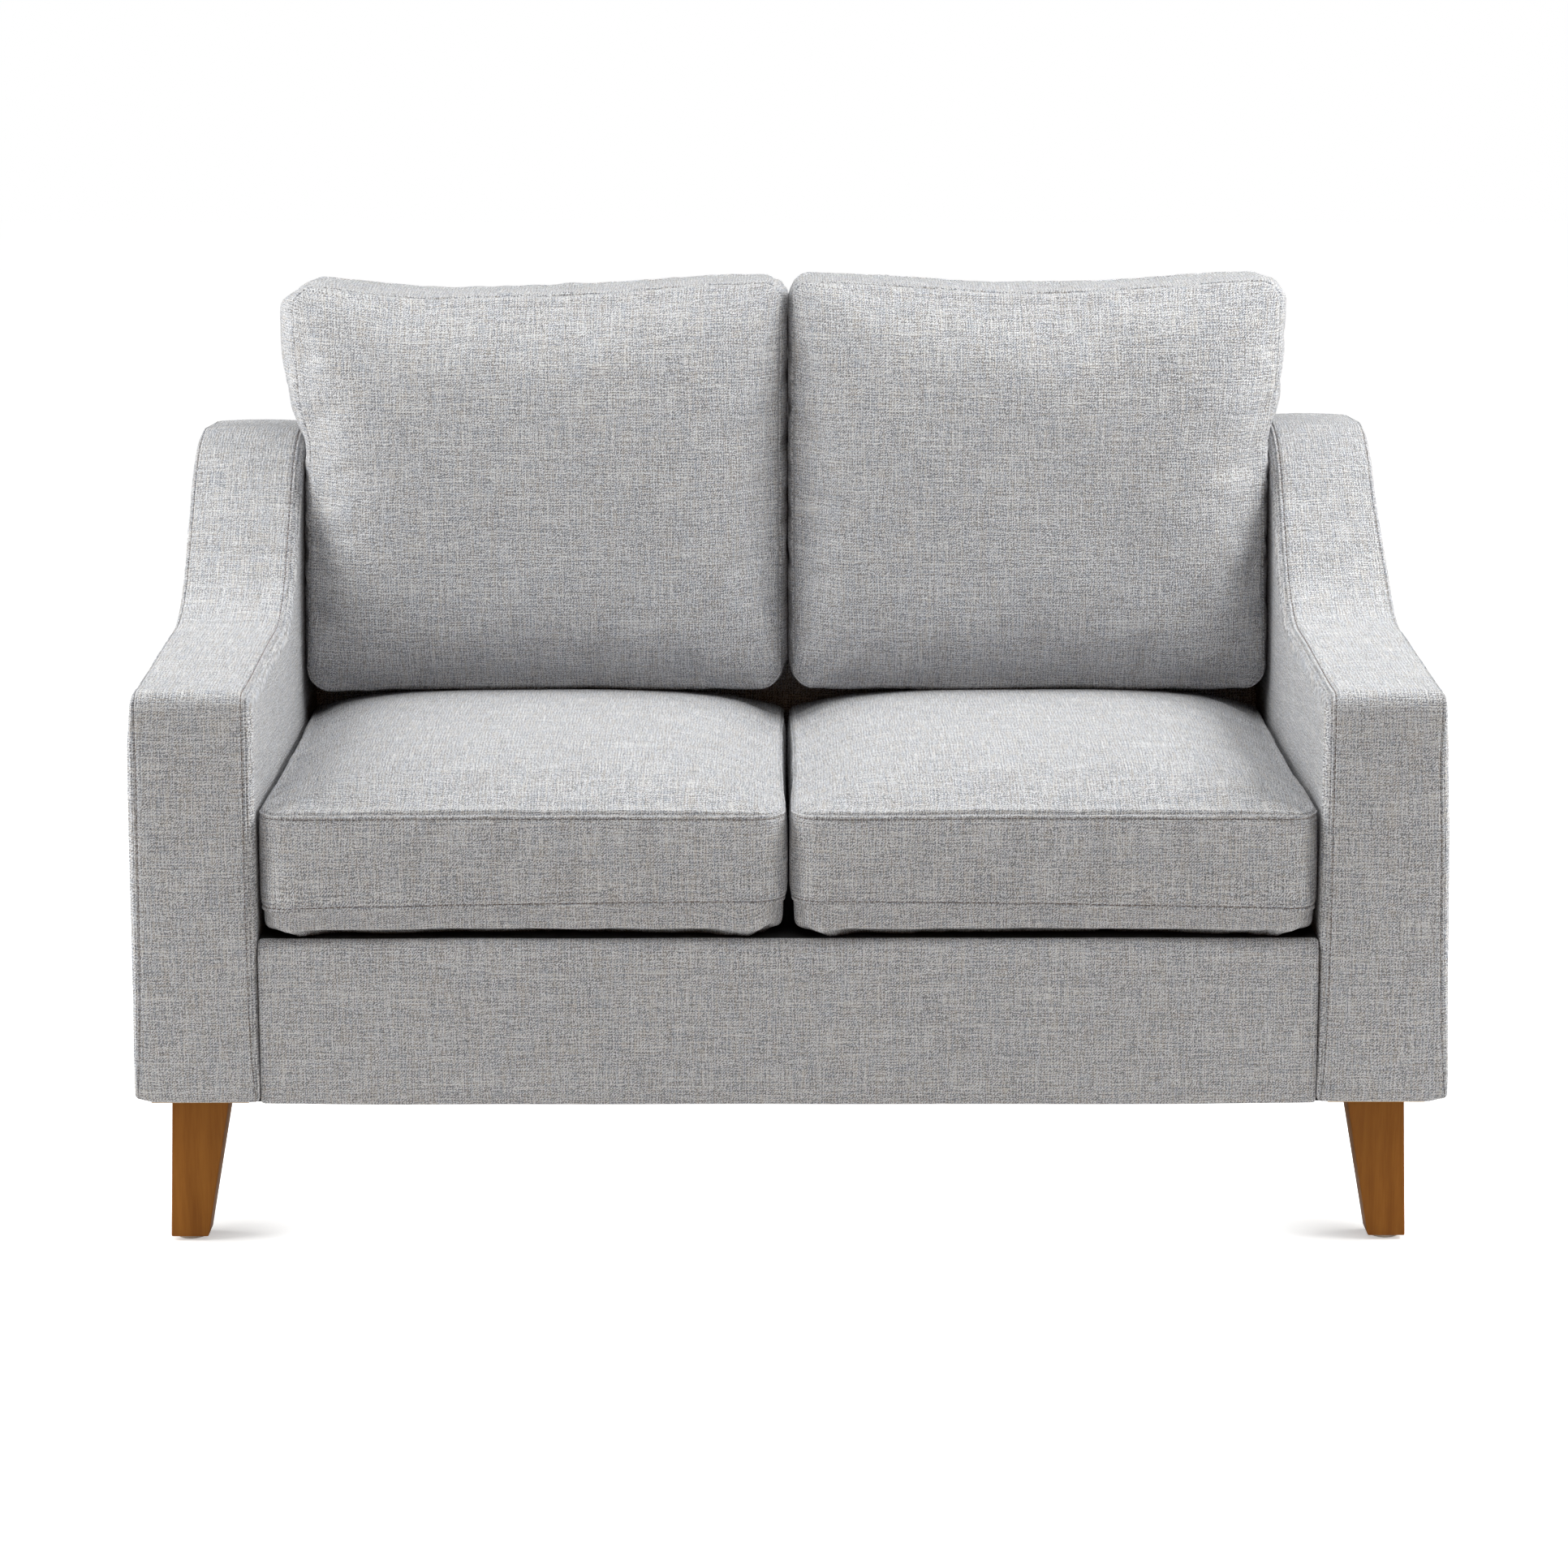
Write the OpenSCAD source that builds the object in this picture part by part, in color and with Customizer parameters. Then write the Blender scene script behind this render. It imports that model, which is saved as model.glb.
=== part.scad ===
// High back settee for two: scooped track arms, two loose boxed seat cushions, two
// loose boxed back cushions, a plain upholstered front rail and four tapered legs.
// Millimetres. +Z is up, the front faces -Y, and the origin lies on the floor
// under the middle of the settee.

/* [Overall] */
// Width over both arms
overall_w = 1350; // [1150:10:1800]
// Depth from the arm fronts to the outside back
overall_d = 800; // [760:10:900]
// Height of the body's underside above the floor
base_h = 156; // [120:1:200]
// Height of the padded seat deck
deck_h = 330; // [310:1:360]
// Height of the upholstered back frame
back_h = 780; // [740:1:790]
// Backward lean of the inside back, in degrees
back_lean = 8; // [4:1:10]
// Thickness of the back at the height of the deck
back_foot_t = 160; // [150:1:175]

/* [Arms] */
// Width of each arm
arm_w = 126; // [110:1:160]
// Height of the arm at its front
arm_front_h = 592; // [560:1:600]
// Height of the arm where the scoop starts
arm_level_h = 602; // [600:1:620]
// Height of the arm's crest beside the back
arm_crest_h = 789; // [785:1:830]
// Where the scoop starts behind the front, as a share of the depth
scoop_start_share = 0.425; // [0.38:0.005:0.45]
// Run of the scoop from there back to the crest, as a share of the depth
scoop_run_share = 0.4025; // [0.38:0.0025:0.43]
// Both radii of the scoop together, as a share of the largest that fit
scoop_round_share = 0.912; // [0.8:0.004:0.96]
// Share of those radii that the hollow at the scoop's foot takes
scoop_hollow_share = 0.51; // [0.4:0.01:0.6]
// Radius along the long edges of the arm
arm_edge_r = 18; // [12:1:22]
// Radius of the arm's front and rear top corners
arm_nose_r = 20; // [18:1:26]

/* [Covers] */
// Thickness of the padded covers on arms, top and outside back
cover_t = 12; // [8:1:14]
// Thickness of the pad and cover on the inside back
inside_back_t = 15; // [10:1:20]
// Thickness of the pad and cover on the front rail
rail_cover_t = 10; // [6:1:14]
// Distance of the rail cover behind the arm fronts
rail_cover_set = 6; // [0:1:15]
// Radius along the top of the rail cover
rail_cover_r = 8; // [4:1:9]
// Thickness of the padded seat deck
deck_t = 12; // [8:1:16]
// Thickness of the dust cover under the body
dust_t = 1; // [0.5:0.5:2]

/* [Timber frame] */
// Thickness of the plywood arm panels
panel_t = 15; // [9:1:18]
// Thickness of the boards under and over the arm panels
board_t = 22; // [18:1:25]
// Thickness of the seat rails
rail_t = 25; // [20:1:30]
// Depth of the posts in the arms and the back
post_d = 45; // [35:1:50]
// Height of the top, lower and outside rails of the back
back_rail_h = 50; // [40:1:60]
// Side of the triangular corner blocks
corner_block = 70; // [50:1:90]
// Height of the corner blocks and of the centre brace
brace_h = 80; // [60:1:100]
// Diameter of the frame bolts
frame_bolt_d = 6; // [5:1:8]
// Length of the frame bolts
frame_bolt_l = 75; // [60:5:90]

/* [Springs and webbing] */
// Wire diameter of the sinuous springs
spring_wire = 3.8; // [3:0.1:4.5]
// Sinuous springs under each seat cushion
springs_per_seat = 4; // [3:1:5]
// Distance between neighbouring bars of a spring
spring_pitch = 33; // [28:1:40]
// Width of a spring over its bends
spring_w = 62; // [50:1:70]
// Width of the straps behind the inside back
web_w = 50; // [40:1:60]
// Thickness of the straps
web_t = 2; // [1:0.5:3]
// Straps across the inside back
web_count = 5; // [4:1:6]

/* [Legs] */
// Side of a leg at its top
leg_top = 60; // [50:1:62]
// Side of a leg at its foot
leg_foot = 39; // [30:1:48]
// Distance of the legs inside the arm's outer side
leg_side_set = 30; // [28:1:36]
// Distance of the front legs behind the arm fronts
leg_front_set = 40; // [38:1:60]
// Distance of the rear legs inside the outside back
leg_rear_set = 50; // [48:1:70]
// Diameter of the hanger bolts in the legs
leg_bolt_d = 8; // [6:1:10]
// Diameter of the foot glides
glide_d = 30; // [20:1:30]
// Thickness of the foot glides
glide_t = 4; // [2:0.5:6]

/* [Seat cushions] */
// Height of the seat boxing between its seams
seat_box_h = 95; // [80:1:110]
// Rise of the seat crown over the top seam
seat_crown = 34; // [15:1:40]
// Depth of the seat's underside below the bottom seam
seat_belly = 38; // [20:1:45]
// Corner radius of a seat cushion in plan
seat_corner_r = 34; // [20:1:50]
// How far the seat's sides draw in between corners
seat_pull = 5; // [2:1:8]

/* [Back cushions] */
// Height of the back cushions' top above the floor
back_cushion_h = 960; // [920:5:1000]
// Width of the back boxing between its seams
back_box_w = 125; // [100:1:125]
// Swell of the front panel in front of its seam
back_crown = 46; // [20:1:55]
// Swell of the rear panel behind its seam
back_belly = 14; // [8:1:20]
// Corner radius of a back cushion seen from the front
back_corner_r = 42; // [30:1:60]
// How far the back cushion's sides draw in between corners
back_pull = 6; // [2:1:8]
// How far the outer top corner spreads over the arm
back_flare = 16; // [0:1:20]

/* [Cushion details] */
// Swell of the boxing between its two seams
box_puff = 3; // [1:0.5:5]
// Gap between the two cushions of a pair
pair_gap = 3; // [2:0.5:6]
// Gap between a cushion and the arm
arm_gap = 1.5; // [1:0.5:4]
// Wadding and cover round a cushion core
wadding_t = 30; // [26:1:40]
// Width of a zip
zip_w = 14; // [10:1:18]
// Thickness of a zip
zip_t = 2; // [1.5:0.5:3]

/* [Hidden] */
// Clearance between neighbouring pieces
fit = 0.3;
// Overrun of cuts past the faces that they open
over = 1;
// Height of a cushion above what it rests on
rest_gap = 0.3;
$fn = 48;

front = -overall_d / 2;
rear = overall_d / 2;
side = overall_w / 2;
arm_in = side - arm_w;
between_arms = arm_in - fit;

// Spaces inside the arm cover, from the seat side outwards
cavity_in = arm_in + cover_t + fit;
cavity_out = side - cover_t - fit;
cavity_front = front + cover_t + fit;
cavity_rear = rear - cover_t - fit;
spacer_in = cavity_in + panel_t;
spacer_out = cavity_out - panel_t;
panel_foot = base_h + board_t;
cover_inset = cover_t + fit;

// The arm's scoop: a hollow at its foot and a round at its top, which touch one
// straight slope between them
scoop_y = front + scoop_start_share * overall_d;
scoop_run = scoop_run_share * overall_d;
scoop_rise = arm_crest_h - arm_level_h;
scoop_chord = norm([scoop_run, scoop_rise]);
scoop_radii = scoop_round_share * pow(scoop_chord, 2) / (2 * scoop_rise);
scoop_slope = scoop_chord * sqrt(1 - scoop_round_share);
scoop_angle = atan2(scoop_rise - scoop_radii, scoop_run) + atan2(scoop_radii, scoop_slope);
scoop_r = scoop_hollow_share * scoop_radii;
crest_r = scoop_radii - scoop_r;
crest_y = scoop_y + scoop_run;
slope_foot = [scoop_y + scoop_r * sin(scoop_angle),
              arm_level_h + scoop_r * (1 - cos(scoop_angle))];
slope_head = [crest_y - crest_r * sin(scoop_angle),
              arm_crest_h - crest_r * (1 - cos(scoop_angle))];

// Seat frame
clip_t = 1.5;
clip_h = 2 * clip_t + spring_wire + 2 * fit;
deck_foot = deck_h - deck_t;
rail_top = deck_foot - fit - clip_h;
rail_lip_t = 4;
rail_foot = base_h + rail_lip_t + fit;
rail_front_y = front + rail_cover_set + rail_cover_t + fit;
back_foot_y = rear - back_foot_t;
seat_rear_y = back_foot_y - 2 * fit;
web_off = inside_back_t + fit;
post_off = web_off + web_t + fit;
back_rail_y = lean_y(base_h, post_off) - rail_t - fit;
post_w = post_d;
post_in = cavity_in - post_w;
back_timber_top = back_h - cover_t - fit;
outside_rail_y = cavity_rear - rail_t;
bolt_head_d = 2 * frame_bolt_d;
bolt_head_t = frame_bolt_d / 2;

// Legs and their bolts
leg_top_z = base_h - dust_t;
leg_bolt_depth = 35;
leg_bolt_rise = board_t;
tee_flange_d = 2.5 * leg_bolt_d;
tee_flange_t = 1.6;
tee_barrel_d = 1.3 * leg_bolt_d;
tee_barrel_l = 12;
leg_x = side - leg_side_set;

// Cushions
seat_foot = deck_h + rest_gap;
seat_low_seam = seat_foot + seat_belly;
seat_top_seam = seat_low_seam + seat_box_h;
seat_top = seat_top_seam + seat_crown;
cushion_in = pair_gap / 2;
cushion_out = arm_in - arm_gap;
cushion_x = (cushion_in + cushion_out) / 2;
cushion_half_w = (cushion_out - cushion_in) / 2 - box_puff;
seat_set = 4;
seat_y0 = front + seat_set;
seat_mid_y = (seat_y0 + seat_rear_y) / 2;
seat_half_d = (seat_rear_y - seat_y0) / 2 - box_puff;
back_foot_z = seat_top + rest_gap;
back_mid_z = (back_foot_z + back_cushion_h) / 2;
back_half_h = (back_cushion_h - back_foot_z) / 2 - box_puff;

// Rings of a cushion, as shares of its plan, from the middle to the seam
ring_shares = [0.4, 0.68, 0.86, 0.95, 0.99];
// How square the full and the flattened crown are
crown_power = 3;
flat_power = 20;
corner_steps = 6;
side_steps = 8;
edge_steps = 3;
arc_steps = 9;

upholstery = [0.66, 0.66, 0.65];
upholstery_pale = [0.74, 0.75, 0.76];
timber = [0.80, 0.66, 0.46];
ply = [0.84, 0.73, 0.55];
leg_wood = [0.50, 0.33, 0.20];
foam = [0.93, 0.91, 0.80];
steel = [0.62, 0.63, 0.65];
black_cloth = [0.12, 0.12, 0.13];
pale_plastic = [0.85, 0.84, 0.82];

// Depth of the inside back's leaning face at height z, moved back by off square to it
function lean_y(z, off = 0) =
  back_foot_y + (z - deck_h) * tan(back_lean) + off / cos(back_lean);

// Top line of the arm from front to back, drawn inwards by inset
function arm_top_line(inset) = concat(
  [for (i = [0:edge_steps])
    let (a = 180 - 90 * i / edge_steps)
    [front + arm_nose_r, arm_front_h - arm_nose_r]
      + (arm_nose_r - inset) * [cos(a), sin(a)]],
  [for (i = [0:arc_steps])
    let (a = scoop_angle * i / arc_steps)
    [scoop_y, arm_level_h + scoop_r]
      + (scoop_r + inset) * [sin(a), -cos(a)]],
  [for (i = [0:arc_steps])
    let (a = scoop_angle * (1 - i / arc_steps))
    [crest_y, arm_crest_h - crest_r] + (crest_r - inset) * [-sin(a), cos(a)]],
  [for (i = [0:edge_steps])
    let (a = 90 - 90 * i / edge_steps)
    [rear - arm_nose_r, arm_crest_h - arm_nose_r]
      + (arm_nose_r - inset) * [cos(a), sin(a)]]
);

// Outline of the arm's side, closed along a level foot
function arm_outline(inset, foot) = concat(
  arm_top_line(inset),
  [[rear - inset, foot], [front + inset, foot]]
);

// Two triangles for four corners named clockwise from outside
function quad(a, b, c, d) = [[a, b, c], [a, c, d]];
function join(lists) = [for (list = lists) each list];

// Extrudes a [Y, Z] outline along X
module along_x(x0, x1) {
  translate([x0, 0, 0]) rotate([90, 0, 90]) linear_extrude(x1 - x0) children();
}

module block(low, high) {
  translate(low) cube(high - low);
}

module on_left() {
  mirror([1, 0, 0]) children();
}

module both_sides() {
  children();
  on_left() children();
}

// Rounded body of the right arm: side outlines set along X, each drawn in by
// the quarter round of its long edges
module arm_form() {
  quarter = [for (i = [0:edge_steps])
    let (a = 90 * i / edge_steps)
    arm_edge_r * [1 - cos(a), 1 - sin(a)]];
  stations = concat(
    [for (i = [0:edge_steps]) [arm_in + quarter[i].x, quarter[i].y]],
    [for (i = [edge_steps:-1:0]) [side - quarter[i].x, quarter[i].y]]
  );
  n = len(arm_top_line(0));
  last = len(stations) - 1;
  points = join([for (s = stations)
    let (line = arm_top_line(s.y))
    concat(
      [for (p = line) [s.x, p.x, p.y]],
      [for (p = line) [s.x, p.x, base_h + s.y]]
    )]);
  top = function(s, j) 2 * n * s + j;
  low = function(s, j) 2 * n * s + n + j;
  faces = concat(
    join([for (s = [0:last - 1], j = [0:n - 2])
      quad(top(s, j), top(s, j + 1), top(s + 1, j + 1), top(s + 1, j))]),
    join([for (s = [0:last - 1], j = [0:n - 2])
      quad(low(s, j), low(s + 1, j), low(s + 1, j + 1), low(s, j + 1))]),
    join([for (s = [0:last - 1])
      quad(low(s, 0), top(s, 0), top(s + 1, 0), low(s + 1, 0))]),
    join([for (s = [0:last - 1])
      quad(low(s, n - 1), low(s + 1, n - 1), top(s + 1, n - 1), top(s, n - 1))]),
    join([for (j = [0:n - 2])
      quad(low(0, j), low(0, j + 1), top(0, j + 1), top(0, j))]),
    join([for (j = [0:n - 2])
      quad(top(last, j), top(last, j + 1), low(last, j + 1), low(last, j))])
  );
  polyhedron(points, faces);
}

// Padded skin of the right arm, open below and where the seat frame enters it
module arm_cover() {
  color(upholstery) difference() {
    arm_form();
    along_x(arm_in + cover_t, side - cover_t)
      polygon(arm_outline(cover_t, base_h - over));
    block([arm_in - over, rail_front_y, base_h - over],
          [arm_in + cover_t + over, rear - cover_t, deck_foot]);
    along_x(arm_in - over, arm_in + cover_t + over)
      lean_slab(deck_foot - over, back_timber_top + fit, inside_back_t, post_off + post_d + fit);
  }
}

// Leaning slab of the back between two heights and two depths square to its face
module lean_slab(z0, z1, near, far) {
  polygon([
    [lean_y(z0, near), z0],
    [lean_y(z0, far), z0],
    [lean_y(z1, far), z1],
    [lean_y(z1, near), z1]
  ]);
}

module arm_outer_panel() {
  color(ply) along_x(spacer_out, cavity_out)
    polygon(arm_outline(cover_inset, panel_foot));
}

module arm_inner_panel() {
  color(ply) difference() {
    along_x(cavity_in, spacer_in) polygon(arm_outline(cover_inset, panel_foot));
    frame_bolt_places() bolt_hole(cavity_in - over, spacer_in + over);
  }
}

module arm_base_board() {
  color(timber) difference() {
    block([cavity_in, cavity_front, base_h], [cavity_out, cavity_rear, panel_foot]);
    side_leg_places() translate([0, 0, base_h - over])
      cylinder(d = tee_barrel_d + 2 * fit, h = board_t + 2 * over);
  }
}

// Post behind the arm front, with pockets for the heads of the front rail's bolts
module arm_front_post() {
  color(timber) difference() {
    block([spacer_in, cavity_front, panel_foot],
          [spacer_out, cavity_front + post_d, arm_front_h - cover_inset - board_t]);
    frame_bolt_places() translate([spacer_in - over, 0, 0]) rotate([0, 90, 0])
      cylinder(d = bolt_head_d + 2 * fit, h = over + bolt_head_t + fit);
  }
}

module arm_rear_post() {
  color(timber) block(
    [spacer_in, cavity_rear - post_d, panel_foot],
    [spacer_out, cavity_rear, arm_crest_h - cover_inset - board_t]);
}

// Boards between the arm panels: level, up the scoop and along the crest
module arm_top_boards() {
  level_y = [front + arm_nose_r, scoop_y];
  level_z = [arm_front_h, arm_level_h] - cover_inset * [1, 1];
  drop = [0, board_t];
  up = [-sin(scoop_angle), cos(scoop_angle)];
  foot = slope_foot - cover_inset * up;
  head = slope_head - cover_inset * up;
  color(timber) along_x(spacer_in, spacer_out) {
    polygon([
      [level_y[0], level_z[0]], [level_y[1], level_z[1]],
      [level_y[1], level_z[1]] - drop, [level_y[0], level_z[0]] - drop
    ]);
    polygon([foot, head, head - board_t * up, foot - board_t * up]);
    translate([crest_y, arm_crest_h - cover_inset - board_t])
      square([rear - arm_nose_r - crest_y, board_t]);
  }
}

module seat_front_rail() {
  color(timber) difference() {
    block([-cavity_in, rail_front_y, rail_foot],
          [cavity_in, rail_front_y + rail_t, rail_top]);
    both_sides() frame_bolt_places() bolt_hole(cavity_in - frame_bolt_l, cavity_in + over);
  }
}

module seat_back_rail() {
  color(timber) difference() {
    block([-cavity_in, back_rail_y, rail_foot],
          [cavity_in, back_rail_y + rail_t, rail_top]);
    both_sides() frame_bolt_places() bolt_hole(cavity_in - frame_bolt_l, cavity_in + over);
  }
}

module seat_centre_brace() {
  color(timber) block(
    [-rail_t / 2, rail_front_y + rail_t, rail_foot],
    [rail_t / 2, back_rail_y, rail_foot + brace_h]);
}

module seat_corner_blocks() {
  corner = [[0, 0], [-corner_block, 0], [0, corner_block]];
  color(timber) both_sides() {
    translate([cavity_in, rail_front_y + rail_t, rail_foot])
      linear_extrude(brace_h) polygon(corner);
    translate([cavity_in, back_rail_y, rail_foot])
      mirror([0, 1, 0]) linear_extrude(brace_h) polygon(corner);
  }
}

// Places of the bolts through the right arm's inner panel into both seat rails
module frame_bolt_places() {
  rail_h = rail_top - rail_foot;
  for (y = [rail_front_y, back_rail_y], share = [0.3, 0.75])
    translate([0, y + rail_t / 2, rail_foot + share * rail_h]) children();
}

module bolt_hole(x0, x1) {
  translate([x0, 0, 0]) rotate([0, 90, 0])
    cylinder(d = frame_bolt_d + 2 * fit, h = x1 - x0);
}

module frame_bolts() {
  shank_end = spacer_in - frame_bolt_l;
  color(steel) both_sides() frame_bolt_places() {
    translate([shank_end, 0, 0]) rotate([0, 90, 0])
      cylinder(d = frame_bolt_d, h = frame_bolt_l + bolt_head_t);
    translate([spacer_in, 0, 0]) rotate([0, 90, 0])
      cylinder(d = bolt_head_d, h = bolt_head_t);
  }
}

// Springs run from the middle of one rail's top to the middle of the other's
spring_y0 = rail_front_y + rail_t / 2;
spring_run = back_rail_y + rail_t / 2 - spring_y0;
spring_bars = floor(spring_run / spring_pitch);
spring_step = spring_run / spring_bars;
spring_z = rail_top + clip_t + fit;
spring_bend_steps = 4;
spring_places = [for (s = [-1, 1], i = [0:springs_per_seat - 1])
  s * cushion_x + (i + 0.5 - springs_per_seat / 2) * (arm_in - pair_gap) / springs_per_seat];

// Outline of one sinuous spring: bars across, joined by half rounds
module spring_outline() {
  bend_r = spring_step / 2;
  reach = spring_w / 2 - bend_r;
  last_way = spring_bars % 2 == 0 ? 1 : -1;
  bends = [for (k = [0:spring_bars - 1], i = [0:spring_bend_steps])
    let (a = -90 + 180 * i / spring_bend_steps)
    let (way = k % 2 == 0 ? 1 : -1)
    [[way * (reach + bend_r * cos(a)), (k + 0.5) * spring_step + bend_r * sin(a)],
     way * [-way * cos(a), -sin(a)]]];
  path = concat(
    [[[-reach, 0], [0, 1]]],
    bends,
    [[[last_way * reach, spring_run], [0, last_way]]]
  );
  n = len(path);
  half = spring_wire / 2;
  polygon(concat(
    [for (p = path) p[0] + half * p[1]],
    [for (i = [n - 1:-1:0]) path[i][0] - half * path[i][1]]
  ));
}

module seat_springs() {
  color(steel) for (x = spring_places)
    translate([x, spring_y0, spring_z]) linear_extrude(spring_wire) spring_outline();
}

// Folded steel clips that hold both end bars of every spring on the rails
module spring_clips() {
  clip_w = spring_w / 4;
  reach = spring_wire / 2 + fit;
  depth = reach + clip_t;
  color(steel) for (x = spring_places, end = [0, 1])
    translate([x, spring_y0 + end * spring_run, rail_top])
      mirror([0, end, 0]) along_x(-clip_w / 2, clip_w / 2) difference() {
        translate([-depth, 0]) square([depth + reach, clip_h]);
        translate([-reach, clip_t]) square([2 * reach + over, clip_h - 2 * clip_t]);
      }
}

// Straight rods under the springs that tie them side to side
module spring_tie_rods() {
  rod_d = 0.8 * spring_wire;
  length = 2 * cavity_in - 2 * corner_block;
  color(steel) for (share = [0.25, 0.5, 0.75])
    translate([-length / 2, spring_y0 + share * spring_run, spring_z - rod_d / 2 - fit])
      rotate([0, 90, 0]) cylinder(d = rod_d, h = length);
}

module seat_deck() {
  color(black_cloth) block([-between_arms, rail_front_y, deck_foot],
                           [between_arms, back_foot_y, deck_h]);
}

module back_post() {
  color(timber) along_x(post_in, cavity_in)
    lean_slab(rail_foot, back_timber_top, post_off, post_off + post_d);
}

module back_top_rail() {
  foot = back_timber_top - back_rail_h;
  color(timber) along_x(-post_in, post_in) polygon([
    [lean_y(foot, post_off), foot],
    [cavity_rear, foot],
    [cavity_rear, back_timber_top],
    [lean_y(back_timber_top, post_off), back_timber_top]
  ]);
}

module back_lower_rail() {
  color(timber) along_x(-post_in, post_in)
    lean_slab(deck_h, deck_h + back_rail_h, post_off, post_off + rail_t);
}

module back_centre_stile() {
  color(timber) along_x(-post_w / 2, post_w / 2)
    lean_slab(deck_h + back_rail_h, back_timber_top - back_rail_h, post_off, post_off + rail_t);
}

module outside_back_rail() {
  color(timber) block([-cavity_in, outside_rail_y, base_h],
                      [cavity_in, cavity_rear, base_h + back_rail_h]);
}

// Straps across the posts, evenly spread over the inside back
module back_webbing() {
  foot = deck_h + back_rail_h / 2;
  step = (back_timber_top - web_w - foot) / (web_count - 1);
  color(black_cloth) for (i = [0:web_count - 1])
    along_x(fit - cavity_in, cavity_in - fit)
      lean_slab(foot + i * step, foot + i * step + web_w, web_off, web_off + web_t);
}

module front_rail_cover() {
  y0 = front + rail_cover_set;
  lip = rail_t + rail_cover_t;
  color(upholstery) along_x(-between_arms, between_arms) {
    translate([y0, base_h]) square([rail_cover_t, deck_h - base_h - rail_cover_r]);
    translate([y0 + rail_cover_r, base_h])
      square([rail_cover_t - rail_cover_r, deck_h - base_h]);
    translate([y0 + rail_cover_r, deck_h - rail_cover_r]) intersection() {
      circle(r = rail_cover_r);
      translate([-rail_cover_r, 0]) square(rail_cover_r);
    }
    translate([y0, base_h]) square([lip, rail_lip_t]);
  }
}

// Padded inside back that turns over the top rail
module inside_back_cover() {
  foot = deck_h + fit;
  turn = back_h - cover_t;
  color(upholstery) along_x(-between_arms, between_arms) polygon([
    [lean_y(foot), foot],
    [lean_y(turn), turn],
    [lean_y(back_h) + cover_t / 2, back_h],
    [rear - cover_t - fit, back_h],
    [rear - cover_t - fit, turn],
    [lean_y(turn, inside_back_t), turn],
    [lean_y(foot, inside_back_t), foot]
  ]);
}

module outside_back_cover() {
  color(upholstery) block([-between_arms, rear - cover_t, base_h],
                          [between_arms, rear, back_h]);
}

module dust_cover() {
  margin = 2 * arm_nose_r;
  color(black_cloth) difference() {
    block([arm_edge_r - side, front + margin / 2, base_h - dust_t],
          [side - arm_edge_r, rear - margin / 2, base_h]);
    all_leg_places() translate([0, 0, base_h - dust_t - over])
      cylinder(d = tee_barrel_d, h = dust_t + 2 * over);
  }
}

// Puts a front leg's outer front corner, then the others', in their places
module right_front() {
  translate([leg_x, front + leg_front_set, 0]) children();
}

module right_rear() {
  translate([leg_x, rear - leg_rear_set, 0]) mirror([0, 1, 0]) children();
}

// Bolt axes of the right arm's two legs, and of all four
module side_leg_places() {
  right_front() translate([-leg_top / 2, leg_top / 2, 0]) children();
  right_rear() translate([-leg_top / 2, leg_top / 2, 0]) children();
}

module all_leg_places() {
  both_sides() side_leg_places() children();
}

// Leg with two upright outer faces and two that taper in to the foot
module leg() {
  taper = [[0, leg_top_z], [leg_top, leg_top_z], [leg_foot, glide_t], [0, glide_t]];
  color(leg_wood) difference() {
    intersection() {
      along_x(-leg_top, 0) polygon(taper);
      translate([0, leg_top, 0]) rotate([90, 0, 0]) linear_extrude(leg_top)
        mirror([1, 0]) polygon(taper);
    }
    translate([-leg_top / 2, leg_top / 2, leg_top_z - leg_bolt_depth])
      cylinder(d = leg_bolt_d + 2 * fit, h = leg_bolt_depth + over);
  }
}

module leg_bolts() {
  color(steel) all_leg_places() translate([0, 0, leg_top_z - leg_bolt_depth])
    cylinder(d = leg_bolt_d, h = leg_bolt_depth + dust_t + leg_bolt_rise);
}

// Nuts pressed into the base boards from above, with a flange on the board
module tee_nuts() {
  color(steel) all_leg_places() translate([0, 0, panel_foot]) difference() {
    union() {
      translate([0, 0, -tee_barrel_l]) cylinder(d = tee_barrel_d, h = tee_barrel_l + tee_flange_t);
      cylinder(d = tee_flange_d, h = tee_flange_t);
    }
    translate([0, 0, -tee_barrel_l - over])
      cylinder(d = leg_bolt_d + 2 * fit / 3, h = tee_barrel_l + tee_flange_t + 2 * over);
  }
}

module foot_glides() {
  color(pale_plastic) both_sides() {
    right_front() translate([-leg_foot / 2, leg_foot / 2, 0]) cylinder(d = glide_d, h = glide_t);
    right_rear() translate([-leg_foot / 2, leg_foot / 2, 0]) cylinder(d = glide_d, h = glide_t);
  }
}

// Height of a crown over its seam at share s of the way out, from 1 to 0
function crown_at(s, power) = sqrt(1 - pow(s, power));

// Outline of a boxed cushion at share s of its plan: four round corners, and
// between them sides that draw in by pulls (in order +Y, -X, -Y, +X) and swell by puff
function cushion_ring(half, r, pulls, s, puff) = [
  for (c = [0:3])
    let (sx = c == 0 || c == 3 ? 1 : -1)
    let (sy = c < 2 ? 1 : -1)
    let (centre = [sx * (half.x - r), sy * (half.y - r)])
    let (normal = [[0, 1], [-1, 0], [0, -1], [1, 0]][c])
    let (next = [for (k = [0:1]) centre[k] - 2 * centre[k] * abs(normal[1 - k])])
    each s * concat(
      [for (i = [0:corner_steps])
        let (a = 90 * (c + i / corner_steps))
        centre + (r + puff) * [cos(a), sin(a)]],
      [for (i = [1:side_steps])
        let (t = i / (side_steps + 1))
        centre + t * (next - centre)
          + (r + puff - pulls[c] * 4 * t * (1 - t)) * normal]
    )
];

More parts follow.
